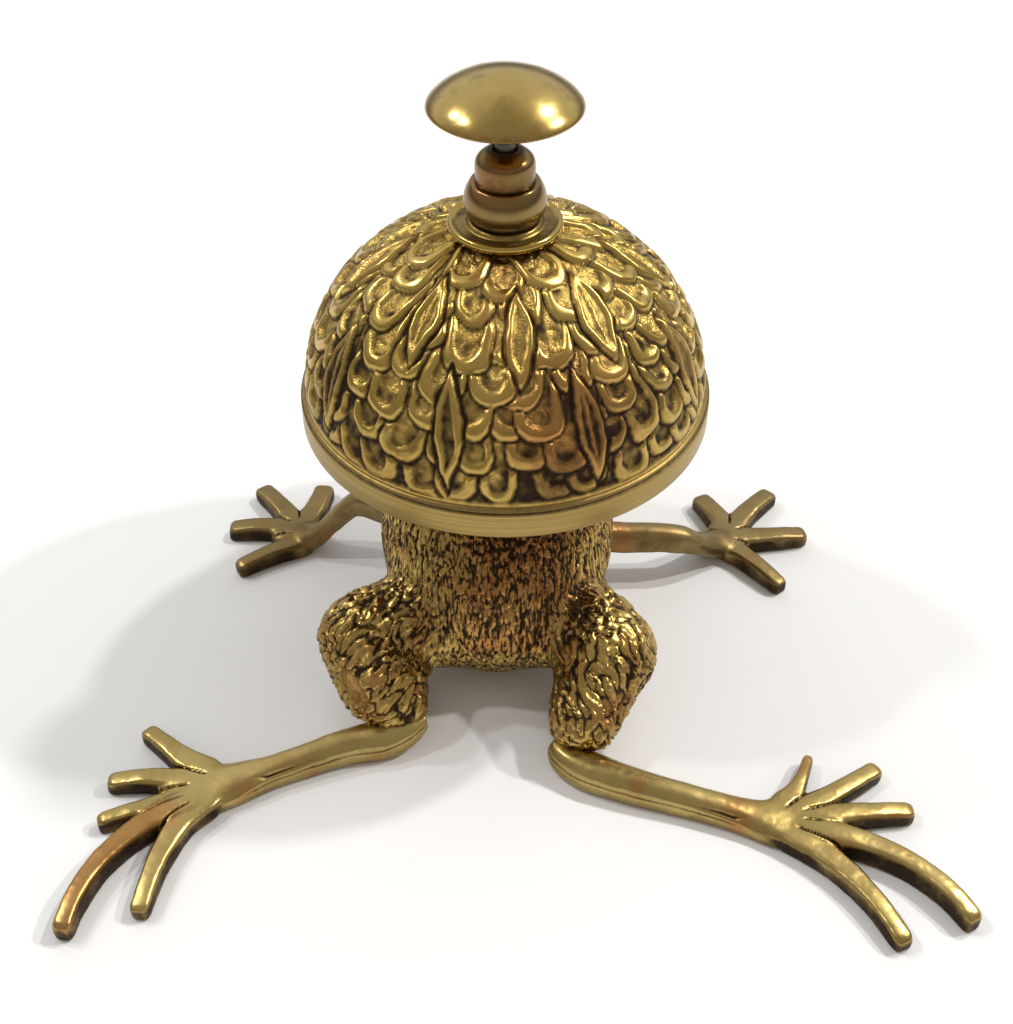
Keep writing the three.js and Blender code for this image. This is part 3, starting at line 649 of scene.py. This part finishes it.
def cap_nut():
    profile = rounded([
        [TUBE_HOLE, CAP_FOOT], [CAP_RADIUS, CAP_FOOT], [CAP_RADIUS, CAP_WALL_TOP],
        *arc(CAP_WALL_TOP, CAP_RADIUS, 2.95, 12, 60, 9),
        [2.35, CAP_WALL_TOP + 2.85], [1.9, CAP_WALL_TOP + 2.4], [1.8, CAP_WALL_TOP + 0.1],
        [TUBE_HOLE, CAP_WALL_TOP + 0.1],
    ], 0.12, 2)
    piece = blotched_and_darker_below(lathe("cap_guide", profile[:-1], closed=True), CAP_WALL_TOP + 0.5, CAP_WALL_TOP - 1)
    points = points_of(piece.data)
    # Painted shade in the recess round the rod, on the cap's top.
    darkening = 0.8 * ease(3.9, 2.6, np.hypot(points[:, 0], points[:, 1]))
    darkening *= ease(CAP_WALL_TOP + 1, CAP_WALL_TOP + 2, points[:, 2])
    store(piece.data, "patina_and_shade", np.maximum(values_of(piece.data, "patina_and_shade"), darkening))
    return piece


def blotched_and_darker_below(piece, clear_above, dull_below):
    """Adds blotchy tarnish over a turned piece, and makes it darker towards its lower part."""
    mesh = piece.data
    points = points_of(mesh)
    darker_below_and_blotches = 0.3 * ease(clear_above, dull_below, points[:, 2]) + 0.35 * soft_noise(points / 2.6, 97)
    store(mesh, "patina_and_shade", values_of(mesh, "patina_and_shade") + 1.5 * darker_below_and_blotches * darker_below_and_blotches)
    store(mesh, "copper", 0.25 * ease(0.5, 0.75, soft_noise(points / 3.5, 99)))
    return piece


def push_knob():
    """A lens between an oval arc and a flatter round one, so that its edge is narrow but not sharp."""
    def half(rise, direction, turns):
        round_radius = (KNOB_RADIUS ** 2 + rise ** 2) / (2 * rise)
        made = []
        for t in turns:
            radius = KNOB_RADIUS * math.sin(t)
            oval = rise * math.cos(t)
            cap = math.sqrt(round_radius ** 2 - radius ** 2) - (round_radius - rise)
            made.append([radius, KNOB_MIDDLE + direction * (0.35 * oval + 0.65 * cap)])
        return made

    boss = math.asin(3.4 / KNOB_RADIUS)
    belly = half(2.9, -1, np.linspace(boss, math.pi / 2, 24))
    crown = half(5.5, 1, np.linspace(math.pi / 2, 0, 48))[1:]
    socket = [[0, ROD_TOP + 0.2], [2, ROD_TOP + 0.2], [2, belly[0][1] + 0.1], [3.1, belly[0][1] - 0.05]]
    piece = lathe("knob_lens", np.array(socket + belly + crown), 192)
    points = points_of(piece.data)
    around = np.arctan2(points[:, 1], points[:, 0])
    smudge = soft_noise(points / np.array([4.0, 2.4, 9.0]), 91) * soft_noise(points / 1.3, 93)
    worn_edge = ease(KNOB_RADIUS - 1.1, KNOB_RADIUS, np.hypot(points[:, 0], points[:, 1]))
    store(piece.data, "patina_and_shade", 0.5 * smudge + 0.3 * worn_edge * (0.5 + 0.5 * np.sin(3 * around)))
    store(piece.data, "copper", 0.35 * ease(KNOB_MIDDLE + 1.2, KNOB_MIDDLE - 0.5, points[:, 2]))
    return piece


def plunger_rod():
    piece = lathe("neck_rod", rounded([
        *arc(ROD_FOOT + ROD_RADIUS, ROD_RADIUS, ROD_RADIUS, -90, 0, 8), [ROD_RADIUS, ROD_TOP - 9],
        [ROD_RADIUS, ROD_TOP], [0, ROD_TOP],
    ], 0.1, 2), 48)
    store(piece.data, "patina_and_shade", 0.6 * ease(ROD_TOP - 14, ROD_TOP - 10, points_of(piece.data)[:, 2]))
    return piece


def hammer_head():
    low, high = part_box("hammer_head")
    centre = (low + high) / 2 / MM - Vector((AXIS.x, AXIS.y, 0)) / MM
    radius = (high.x - low.x) / 2 / MM
    piece = lathe("hammer_ball", arc(0, radius, radius, -90, 90, 24), 48)
    move_points(piece.data, points_of(piece.data) + np.array(centre))
    return piece


def return_spring():
    low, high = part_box("return_spring")
    wire, sides, turns = 0.3, 10, 6
    radius = (high.x - low.x) / 2 / MM - wire
    bottom = low.z / MM + wire
    top = high.z / MM - wire
    t = np.linspace(0, 1, turns * 40 + 1)
    turn = 2 * math.pi * turns * t
    centres = np.stack([radius * np.cos(turn), radius * np.sin(turn), bottom + (top - bottom) * t], axis=-1)
    out = np.stack([np.cos(turn), np.sin(turn), 0 * t], axis=-1)
    round_wire = np.linspace(0, 2 * math.pi, sides, endpoint=False)
    points = (centres[:, None] + wire * (np.cos(round_wire)[:, None] * out[:, None]
                                         + np.sin(round_wire)[:, None] * np.array([0, 0, 1]))).reshape(-1, 3)
    faces = [*grid_faces(len(t), sides), range(sides), range(len(points) - sides, len(points))]
    piece = object_of("spring_coil", mesh_of("spring_coil", points, faces))
    store(piece.data, "patina_and_shade", np.full(len(points), 0.1))
    return piece


# ---------- frog's body ----------
def ellipsoid_mesh(at, half, pitch=0.0, grow=0.0):
    shape = bmesh.new()
    bmesh.ops.create_icosphere(shape, subdivisions=5, radius=1)
    turn = Euler((radians(pitch), 0, 0)).to_matrix()
    for point in shape.verts:
        point.co = turn @ Vector([c * (h + grow) for c, h in zip(point.co, half)]) + Vector(at)
    return shape


def limb_mesh(start, end):
    """Two balls and the tapered bar between them."""
    shape = bmesh.new()
    bmesh.ops.create_uvsphere(shape, u_segments=48, v_segments=32, radius=1)
    turn = (Vector(end[:3]) - Vector(start[:3])).to_track_quat("Z", "Y")
    for point in shape.verts:
        *centre, radius = start if point.co.z < 0 else end
        point.co = Vector(centre) + turn @ (point.co * radius)
    return shape


def disc_mesh(radius, bottom, top):
    shape = bmesh.new()
    bmesh.ops.create_cone(shape, cap_ends=True, segments=96, radius1=radius, radius2=radius,
                          depth=top - bottom)
    bmesh.ops.translate(shape, verts=shape.verts, vec=(0, 0, (top + bottom) / 2))
    return shape


def box_mesh(size, at):
    shape = bmesh.new()
    bmesh.ops.create_cube(shape, size=1)
    for point in shape.verts:
        point.co = Vector(c * s for c, s in zip(point.co, size)) + Vector(at)
    return shape


def merged(name, shapes):
    whole = bpy.data.meshes.new(name)
    gathered = bmesh.new()
    for shape in shapes:
        part = bpy.data.meshes.new("part")
        shape.to_mesh(part)
        shape.free()
        gathered.from_mesh(part)
        bpy.data.meshes.remove(part)
    gathered.to_mesh(whole)
    gathered.free()
    return object_of(name, whole)


def cut_away(piece, shapes):
    for shape in shapes:
        tool = merged("tool", [shape])
        modifier = piece.modifiers.new("cut", "BOOLEAN")
        modifier.operation = "DIFFERENCE"
        modifier.solver = "EXACT"
        modifier.object = tool
        bake(piece)
        bpy.data.objects.remove(tool)


def frog_form():
    """The frog's plain body, hollow and open under the belly, with its masses run together."""
    shapes = [ellipsoid_mesh(**TORSO), ellipsoid_mesh(**HEAD), disc_mesh(PAD_RADIUS, 30, PAD_TOP)]
    shapes += [ellipsoid_mesh(eye, EYE_HALF) for eye in EYES]
    for balls in (LEFT_LEG, RIGHT_LEG, RUMP):
        shapes += [limb_mesh(near, far) for near, far in zip(balls, balls[1:])]
    body = merged("frog_skin", shapes)
    remesh(body, FIRST_VOXEL, 10)
    cut_away(body, [
        ellipsoid_mesh(**TORSO, grow=-CASTING_WALL),
        box_mesh(**BELLY_OPENING),
        box_mesh(**MOUTH),
        box_mesh((140, 160, 20), (0, 0, BODY_UNDERSIDE - 10)),
        disc_mesh(PAD_RADIUS + 2, PAD_TOP, PAD_TOP + 20),
    ])
    remesh(body, SKIN_VOXEL, 3)
    return body


def stretched(points, along, length, width):
    """Coordinates in which a cell is one unit, long in one direction."""
    along = np.asarray(along, float) / np.linalg.norm(along)
    share = points @ along
    return (points - share[:, None] * along) / width + share[:, None] * along / length


def strokes(points, seed, gap):
    """Ridges of long cells, each with a height of its own."""
    nearest, second, _, mark = cells_at(points, seed)
    return ease(-0.05, gap, second - nearest) * (0.7 + 0.3 * mark)


def chiselled(points, seed):
    """Flats tilted each its own way, with creases between them that run together: height and cleanness."""
    near_crease = [np.abs(2 * soft_noise(points * size, seed + size) - 1) for size in (1, 2)]
    nearest, second, away, mark = cells_at(points * 0.8, seed + 11)
    turn = 2 * math.pi * mark
    tilt = away[:, 0] * np.cos(turn) + away[:, 1] * np.sin(turn) + away[:, 2] * np.cos(2.7 * turn)
    clean = ease(0, 0.36, near_crease[0]) * (0.75 + 0.25 * ease(0, 0.3, near_crease[1]))
    facet = ease(0, 0.16, second - nearest)
    return 0.05 + 0.65 * clean + 0.15 * facet + tilt, clean * (0.8 + 0.2 * facet)


def warp(points, size, amount, seed):
    shift = [2 * soft_noise(points / size, seed + k) - 1 for k in range(3)]
    return points + amount * np.stack(shift, axis=-1)


def distance_to_line(points, start, end):
    start, end = np.array(start, float), np.array(end, float)
    way = end - start
    t = np.clip((points - start) @ way / (way @ way), 0, 1)
    return np.linalg.norm(points - start - t[:, None] * way, axis=1)


def frog_skin():
    body = frog_form()
    mesh = body.data
    points = points_of(mesh)
    normals = normals_of(mesh)
    torso_turn = np.array(Euler((radians(-TORSO["pitch"]), 0, 0)).to_matrix())
    in_torso = (points - TORSO["at"]) @ torso_turn.T / TORSO["half"]
    from_torso = np.linalg.norm(in_torso, axis=1)
    leg = np.zeros(len(points))
    for balls in (LEFT_LEG, RIGHT_LEG):
        for near, far in zip(balls, balls[1:]):
            away = distance_to_line(points, near[:3], far[:3])
            leg = np.maximum(leg, ease(near[3] + 3, near[3] - 1, away))
    leg *= ease(0.95, 1.15, from_torso) * ease(5, 10, np.abs(points[:, 0] + 1))
    outside = ease(0.9, 0.97, from_torso)
    head = ease(14, 20, points[:, 1]) * ease(24, 30, points[:, 2])
    pad = ease(PAD_TOP - 0.6, PAD_TOP - 0.2, points[:, 2])
    belly = ease(BODY_UNDERSIDE + 0.4, BODY_UNDERSIDE + 0.1, points[:, 2])
    scoop = ease(1.15, 0.85, np.linalg.norm(stretched(points - SCOOP, *SCOOP_CELL), axis=1))

    warped = warp(points, 4.0, 0.8, 41)
    fine = strokes(stretched(warped, *FINE_STROKES), 51, 0.3)
    coarse = strokes(stretched(warped, *COARSE_STROKES), 57, 0.3)
    fur = 0.62 * fine + 0.38 * coarse
    bent = warp(points, 3.4, 0.7, 61)
    left = chiselled(stretched(bent, *LEFT_FLATS), 67)
    right = chiselled(stretched(bent, *RIGHT_FLATS), 69)
    chisel, clean = np.where(points[:, 0] < -1, left, right)
    warts = 0.5 * strokes(warped / 1.7, 71, 0.42) + 0.5 * fine
    back = (1 - leg) * (1 - head)
    face = head * (1 - leg)
    form = fur * back + chisel * leg + warts * face
    depth = BACK_DEPTH * back + THIGH_DEPTH * leg + FACE_DEPTH * face
    textured = outside * (1 - pad) * (1 - belly) * (1 - 0.93 * scoop)
    relief = (form - LEVEL_FORM) * depth * textured - SCOOP_DEPTH * scoop * outside
    move_points(mesh, points + normals * relief[:, None])
    dirt_and_shade = (ease(0.62, 0.1, form) * (1 - leg) + 0.9 * ease(0.5, 0.05, clean) * leg) * textured
    # Painted shade round the left heel, under the leg.
    heel_shade = ease(3.4, 1.6, np.linalg.norm(points - LEFT_HEEL, axis=1))
    # The reddish middle of the back, just under the bell's rim: a copper tone, and also painted shade.
    middle = ease(17, 5, np.abs(points[:, 0] - 3)) * ease(11, 17, points[:, 2]) * ease(8, 0, points[:, 1])
    red = middle * ease(0.25, 0.7, soft_noise(points / 5.0, 73) + 0.3 * middle)
    shade = 0.12 * ease(-14, -20, points[:, 0]) * ease(12, 17, points[:, 2])
    # Added to the patina: painted shade on the upper left side, round the left heel and over the reddish
    # middle of the back under the rim; the scooped patch is a little darker.
    dirt_and_shade += (0.05 + shade) * textured + 0.6 * heel_shade + 0.25 * red + 0.2 * scoop
    store(mesh, "patina_and_shade", dirt_and_shade)
    store(mesh, "stipple", textured * (1 - 0.8 * leg) * (1 - 0.6 * head))
    ruddy = 0.5 * ease(0.55, 0.8, soft_noise(points / 4.0, 75))
    store(mesh, "copper", np.maximum(np.maximum(red * (1 - leg), ruddy) * textured, 0.4 * scoop))
    thin_out(body)
    mesh = body.data
    creases = hollow_and_edge(mesh, 0.16)
    store(mesh, "patina_and_shade", values_of(mesh, "patina_and_shade") + 0.4 * np.clip(creases, -0.7, 0.6))
    return body


def thin_out(piece):
    """Merges the flattest faces until no more than MOST_FACES triangles are left."""
    piece.data.calc_loop_triangles()
    count = len(piece.data.loop_triangles)
    if count > MOST_FACES:
        modifier = piece.modifiers.new("thin", "DECIMATE")
        modifier.ratio = MOST_FACES / count
        modifier.use_collapse_triangulate = True
        bake(piece)


# ---------- feet and forelegs ----------
def toe(places, root=6, tip=3.6, height=PALM_HEIGHT):
    """A toe or finger lying on the table, through plan points from its root in the palm to its tip."""
    last = len(places) - 1
    made = []
    for i, (x, y) in enumerate(places):
        width = tip + (root - tip) * (1 - i / last) ** 2
        top = PALM_HEIGHT if i == 0 else height - TIP_DROP * (i == last)
        made.append((x, y, 0, width, top))
    return made


# Each hind foot is a long bar from the heel, its web, then five toes fanning out from its end. Each foreleg
# is a bent bar from inside the chest to the palm, the palm itself, then four fingers. A bar's stations are
# (x, y, underside, width, height).
HIND_FEET = {
    "left": [
        [(-15.4, -37.8, 3.4, 3.4, 3.2), (-18.4, -39.2, 1.4, 6, 5.2), (-23, -40.9, 0, 7.2, 6.4),
         (-30, -42.6, 0, 6.4, 6.2), (-37, -45.4, 0, 5.8, 5.6), (-44, -48.2, 0, 6.2, 5),
         (-51, -50.8, 0, 9, 4.5), (-56.5, -52.4, 0, 11, 4)],
        [(-52, -51.2, 0, 9, 4.3), (-58, -53, 0, 11, 3.9), (-63.5, -54.8, 0, 8, 3.3)],
        toe([(-54, -49.6), (-60, -46), (-64.5, -42.4), (-69, -38.4)], root=7),
        toe([(-55, -51.2), (-61, -50.5), (-67, -50.1), (-74, -50.6)]),
        toe([(-55, -52.8), (-61.5, -55.2), (-67, -57.2), (-74, -59.6)], tip=3.2),
        toe([(-55, -54), (-61.5, -58), (-67.2, -63), (-71.8, -69.4), (-74.2, -76), (-75.3, -82.3)],
            height=4.8),
        toe([(-53.5, -53.4), (-58.4, -59.4), (-60.7, -65.4), (-62.1, -71.6), (-63, -78.4)], root=6.6),
    ],
    "right": [
        [(9.4, -43, 1.6, 3.6, 4), (11.6, -45.6, 0.3, 6.2, 5.8), (16, -48.4, 0, 7.2, 6.2),
         (22.6, -51.2, 0, 6.6, 6), (30.3, -53.8, 0, 6, 5.6), (37.3, -56, 0, 5.8, 5.2),
         (44.3, -58.2, 0, 7, 4.6), (51, -60, 0, 10.5, 4)],
        [(46, -58.6, 0, 8, 4.4), (54, -60.2, 0, 11, 3.9), (60, -61.4, 0, 8, 3.3)],
        toe([(49.5, -57.8), (53, -53.8), (55.3, -49.8), (57.4, -44.8)], root=7, tip=2.0),
        toe([(51.5, -58.4), (58, -55.2), (63.4, -52), (70, -47.4)]),
        toe([(53, -59.2), (60, -58.4), (67, -57.8), (74.6, -57.2)]),
        toe([(52, -60.4), (60, -63.2), (67, -66.2), (73, -70.4), (77.2, -75.2), (80.2, -80.4)], height=4.8),
        toe([(49.5, -60.6), (56, -66), (60.8, -71.4), (64.6, -77.6), (67.6, -84.2)], root=6.6),
    ],
}
FORELEGS = {
    "left": [
        [(-9, 7.4, 15, 6.2, 6.6), (-19.6, 9, 12.6, 6, 6.4), (-25.6, 11.6, 12.2, 5.6, 5.8),
         (-31.5, 14.6, 11.4, 5.4, 5.4), (-36.6, 14.8, 7, 5.6, 5.4), (-41.4, 15, 1.8, 6.6, 5),
         (-46.5, 17.6, 0, 9, 4)],
        [(-42.6, 14, 0, 6, 4), (-47, 18, 0, 11, 4.1), (-50, 20.8, 0, 7, 3.9)],
        toe([(-47, 20.2), (-49.2, 23.6), (-52.4, 27.8), (-56, 32.4)], tip=4.4),
        toe([(-45.8, 19), (-43.4, 23.6), (-42.2, 27.6), (-41.4, 33)], tip=4.6),
        toe([(-47, 18.6), (-52, 19), (-56, 19), (-61.4, 18.9)], tip=4.2),
        toe([(-43.4, 15), (-47.4, 12.8), (-52, 10.2), (-58, 6.4)]),
    ],
    "right": [
        [(6, 7.6, 14.5, 6.4, 6.8), (16, 7.8, 9.4, 6.4, 6.8), (23.6, 8, 7.4, 6, 6), (32, 8.2, 7.2, 5.8, 5.6),
         (38.6, 8.6, 6.2, 5.8, 5.4), (44, 11.6, 1.8, 6.6, 5.2), (49.6, 15.6, 0, 9, 4)],
        [(45.6, 12.4, 0, 6, 4), (49.6, 16.2, 0, 10.5, 4.1), (51.8, 19, 0, 7, 3.9)],
        toe([(49.2, 18), (48, 21.6), (46.2, 25.4), (44.2, 29.4)], tip=4.4),
        toe([(50.6, 18.2), (53.4, 22.4), (56.6, 26.2), (60.8, 30.8)], tip=4.4),
        toe([(50, 15.8), (55.6, 15.6), (60.6, 16), (66.6, 17)], tip=4.2),
        toe([(47.6, 13.6), (51.4, 10.4), (55, 6), (59.2, 0.8)]),
    ],
}
ROUND_SECTION = [(0, 0), (0.42, 0), (0.5, 0.2), (0.5, 0.48), (0.43, 0.76), (0.24, 0.95), (0, 1)]
FILED_SECTION = [(0, 0), (0.47, 0), (0.5, 0.35), (0.49, 0.78), (0.38, 0.97), (0, 1)]


def through(stations, steps):
    """A smooth run through the stations (Catmull-Rom), with so many steps between two of them."""
    rows = np.array(stations, float)
    rows = np.concatenate([[2 * rows[0] - rows[1]], rows, [2 * rows[-1] - rows[-2]]])
    made = []
    for a, b, c, d in zip(rows, rows[1:], rows[2:], rows[3:]):
        for t in np.linspace(0, 1, steps, endpoint=False):
            made.append(0.5 * (2 * b + (c - a) * t + (2 * a - 5 * b + 4 * c - d) * t ** 2
                               + (3 * b - a - 3 * c + d) * t ** 3))
    return np.array(made + [rows[-2]])


def bar_mesh(stations, section, is_shank):
    """A filed bar along its stations, its underside never below the table. Any but a shank starts narrow
    and has its far edges broken."""
    mirrored = [(-x, y) for x, y in section[-2::-1]]
    outline = rounded(section + mirrored, 0.08, 2)[:-1]
    rows = through(stations, 12)
    middle, underside, width, height = rows[:, :2], np.maximum(rows[:, 2], 0), rows[:, 3], rows[:, 4]
    from_tip = np.linalg.norm(middle - middle[-1], axis=1)
    if is_shank:
        width = width * (0.86 + 0.14 * ease(0, 3, from_tip))
    else:
        from_root = np.linalg.norm(middle - middle[0], axis=1)
        taper = np.sin(np.clip(from_tip / 1.3, 0, 1) * math.pi / 2)
        width = width * (0.7 + 0.3 * taper) * (0.8 + 0.2 * ease(0, 3, from_root))
        height = height * (0.85 + 0.15 * taper)
    way = np.gradient(middle, axis=0)
    way /= np.linalg.norm(way, axis=1)[:, None]
    side = np.stack([-way[:, 1], way[:, 0]], axis=-1)
    across = outline[:, 0][None, :, None] * width[:, None, None] * side[:, None, :]
    flat = middle[:, None, :] + across
    level = underside[:, None] + outline[:, 1][None, :] * height[:, None]
    points = np.concatenate([flat, level[:, :, None]], axis=-1).reshape(-1, 3)
    sides = len(outline)
    faces = [*grid_faces(len(rows), sides), range(sides)[::-1], range(len(points) - sides, len(points))]
    shape = bmesh.new()
    made = [shape.verts.new(point) for point in points]
    for face in faces:
        shape.faces.new([made[i] for i in face])
    bmesh.ops.recalc_face_normals(shape, faces=shape.faces)
    return shape


def near_run(points, stations):
    """Distance in plan from a run of stations."""
    return np.min([distance_to_line(points[:, :2], start[:2], end[:2])
                   for start, end in zip(stations, stations[1:])], axis=0)


def toe_grooves(points, normals, toes, from_shank):
    """Narrow grooves that run from between two toes a little way into the palm."""
    apart = np.sort(np.stack([near_run(points, stations) for stations in toes]), axis=0)
    between = ease(0.5, 0.12, apart[1] - apart[0])
    return between * ease(0.75, 1.3, apart[0]) * ease(0.4, 0.75, normals[:, 2]) * ease(1.6, 3.0, from_shank)


def limb_piece(name, bars, is_foot, coppery=()):
    """A cast and filed limb: its first two bars are the shank and the palm, the others its toes. A foot's
    shank has the casting's parting line, and a foreleg's ends at the chest."""
    shapes = [bar_mesh(stations, ROUND_SECTION if i == 0 else FILED_SECTION, i == 0)
              for i, stations in enumerate(bars)]
    piece = merged(name, shapes)
    remesh(piece, BAR_VOXEL, 3)
    if not is_foot:
        cut_away(piece, [ellipsoid_mesh(**TORSO, grow=-CASTING_WALL / 2)])
    mesh = piece.data
    points = points_of(mesh)
    edges = edges_of(mesh)
    shank, palm, *toes = bars
    in_palm = ease(5.5, 3.5, near_run(points, palm))
    calm = spread(points, edges, 14)
    points += (calm - points) * (in_palm * ease(0.2, 0.5, normals_of(mesh)[:, 2]))[:, None]
    move_points(mesh, points)
    normals = normals_of(mesh)
    on_shank = ease(7, 4.4, near_run(points, shank[:-1]))
    file_marks = 0.16 * (soft_noise(points / 2.8, 83) - 0.5) + 0.05 * (soft_noise(points / 0.8, 85) - 0.5)
    line = np.zeros(len(points))
    if is_foot:
        height = np.interp(np.abs(points[:, 0]), *parting_height(shank))
        line = ease(0.26, 0.08, np.abs(points[:, 2] - height)) * ease(0.75, 0.5, normals[:, 2])
        line *= ease(0, -0.3, normals[:, 1]) * ease(9, 3, near_run(points, shank[:-2]))
    groove = toe_grooves(points, normals, toes, near_run(points, shank))
    moved = points + normals * (file_marks - PARTING_DEPTH * line - GROOVE_DEPTH * groove)[:, None]
    moved[:, 2] = np.maximum(moved[:, 2], 0)
    move_points(mesh, moved)
    wall = spread(ease(0.6, 0.25, normals[:, 2]), edges, 2)
    blotch = soft_noise(points / 3.2, 87)
    creases = hollow_and_edge(mesh, 0.1, 5)
    rough_wall = wall * (0.45 + 0.8 * blotch) * (1 - 0.72 * on_shank)
    patina_and_shade = rough_wall + 0.42 * line + groove + 0.16 * ease(0.5, 0.8, soft_noise(points / 5.0, 89))
    patina_and_shade += 0.9 * np.clip(creases, 0, 1) * (1 - 0.85 * line) - 0.5 * np.clip(-creases, 0, 1)
    store(mesh, "patina_and_shade", patina_and_shade)
    red = 0.5 * ease(0.55, 0.85, soft_noise(points / 6.0, 81))
    for index in coppery:
        red = np.maximum(red, 0.55 * ease(2.8, 1.8, near_run(points, bars[index][1:])))
    store(mesh, "copper", red)
    thin_out(piece)
    return piece


def parting_height(stations):
    """Where the casting's parting line runs up a shank's wall, by distance from the middle plane."""
    rows = sorted((abs(x), underside + 0.55 * height) for x, _, underside, _, height in stations)
    return [row[0] for row in rows], [row[1] for row in rows]


# ---------- the parts that stay as they are ----------
def refine(name, material, width):
    """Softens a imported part's edges by modifiers only, and gives it its finish."""
    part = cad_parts[name]
    joined = part.modifiers.new("join", "WELD")
    joined.merge_threshold = 0.000002
    edge = part.modifiers.new("edge", "BEVEL")
    edge.width = width * MM
    edge.segments = 2
    edge.limit_method = "ANGLE"
    edge.angle_limit = radians(35)
    part.data.shade_smooth()
    part.modifiers.new("light", "WEIGHTED_NORMAL")
    part.data.materials.clear()
    part.data.materials.append(material)


# ---------- building it ----------
COPPERY_TOES = {"left": (5,), "right": ()}
finish_piece(bell_dome(), "frame", DOME_BRASS, ["bell_dome"])
finish_piece(dished_collar(), "frame", COLLAR_BRASS, ["dished_collar"])
finish_piece(bulb_nut(), "frame", NUT_BRASS, ["bulb_nut"])
finish_piece(cap_nut(), "frame", NUT_BRASS, ["cap_nut"])
finish_piece(push_knob(), "plunger", KNOB_BRASS, ["push_knob"])
finish_piece(plunger_rod(), "plunger", STEEL, ["plunger_rod"])
finish_piece(hammer_head(), "striker", NUT_BRASS, ["hammer_head"])
finish_piece(frog_skin(), "frame", SKIN_BRASS, ["frog_body"])
for side in ("left", "right"):
    foot = limb_piece(f"foot_{side}", HIND_FEET[side], is_foot=True, coppery=COPPERY_TOES[side])
    finish_piece(foot, "frame", FILED_BRASS, [f"hind_foot_{side}"])
    arm = limb_piece(f"arm_{side}", FORELEGS[side], is_foot=False)
    finish_piece(arm, "frame", ARM_BRASS, [f"foreleg_{side}"])
spring = finish_piece(return_spring(), "frame", STEEL, ["return_spring"])
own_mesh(spring)
for name in ("base_plate", "striker_bracket", "spring_stud", "hollow_spindle"):
    refine(name, KNOB_BRASS, 0.12)
for name in ("bracket_nut_lower", "bracket_nut_upper", "dome_nut"):
    refine(name, NUT_BRASS, 0.12)
for name in ("bracket_screw_left", "bracket_screw_right", "plate_screw_front", "pivot_pin", "pin_clip",
             "retaining_clip", "striker_arm"):
    refine(name, STEEL, 0.08)
refine("dome_washer", FIBRE, 0.15)


# ---------- floor, light and camera ----------
# Places and sizes here are in metres.
FLOOR_REACH = 3
LAMP_AIM = (AXIS.x, AXIS.y, 0.06)
CAMERA_BACK, CAMERA_HEIGHT, CAMERA_PITCH = 0.21035, 0.21418, 42
WARM, PALE, HORIZON = (0.42, 0.39, 0.355), (0.84, 0.85, 0.86), (0.24, 0.22, 0.20)


def floor():
    corners = [(-FLOOR_REACH, -FLOOR_REACH, 0), (FLOOR_REACH, -FLOOR_REACH, 0),
               (FLOOR_REACH, FLOOR_REACH, 0), (-FLOOR_REACH, FLOOR_REACH, 0)]
    ground = object_of("floor", mesh_of("floor", corners, [(0, 1, 2, 3)]))
    paper = bpy.data.materials.new("paper")
    n = Nodes(paper)
    n.fill(n.tree.nodes["Principled BSDF"], {
        "Base Color": (0.90, 0.91, 0.925), "Roughness": 0.85, "Specular IOR Level": 0.15,
    })
    ground.data.materials.append(paper)


def lamp(name, place, size, power, colour):
    data = bpy.data.lights.new(name, "AREA")
    data.shape = "DISK"
    data.size = size
    data.energy = power
    data.color = colour
    light = object_of(name, data)
    light.location = place
    light.rotation_euler = (Vector(LAMP_AIM) - Vector(place)).to_track_quat("-Z", "Y").to_euler()


def sky():
    """A warm, dimmer room in front of the bell (-Y) and a pale one behind it, with a darker strip at the
    horizon."""
    world = bpy.data.worlds.new("studio")
    n = Nodes(world)
    direction = n.node("ShaderNodeSeparateXYZ", n.node("ShaderNodeTexCoord").outputs["Generated"])
    around = n.mix(n.between(direction.outputs["Y"], -0.2, 0.7), WARM, PALE)
    whole = n.mix(n.between(direction.outputs["Z"], 0.08, 0.34), HORIZON, around)
    n.fill(n.tree.nodes["Background"], {"Color": whole})
    bpy.context.scene.world = world


def camera():
    data = bpy.data.cameras.new("camera")
    data.sensor_width = 36
    data.lens = 49.2
    data.shift_x = 0.0013
    data.shift_y = -0.002
    data.clip_start = 0.01
    data.clip_end = 20
    eye = object_of("camera", data)
    eye.location = (AXIS.x, AXIS.y - CAMERA_BACK, CAMERA_HEIGHT)
    eye.rotation_euler = (radians(90 - CAMERA_PITCH), 0, 0)
    bpy.context.scene.camera = eye


floor()
sky()
lamp("right_front", (0.73, 0.13, 0.75), 0.055, 3.3, (1.0, 0.97, 0.92))
lamp("right_back", (0.51, 0.30, 0.86), 0.055, 3.3, (1.0, 0.97, 0.92))
lamp("left_front", (-0.58, 0.08, 0.86), 0.06, 1.6, (1.0, 0.98, 0.95))
lamp("left_back", (-0.66, 0.30, 0.80), 0.06, 1.6, (1.0, 0.98, 0.95))
camera()
bpy.context.scene.view_settings.view_transform = "Standard"
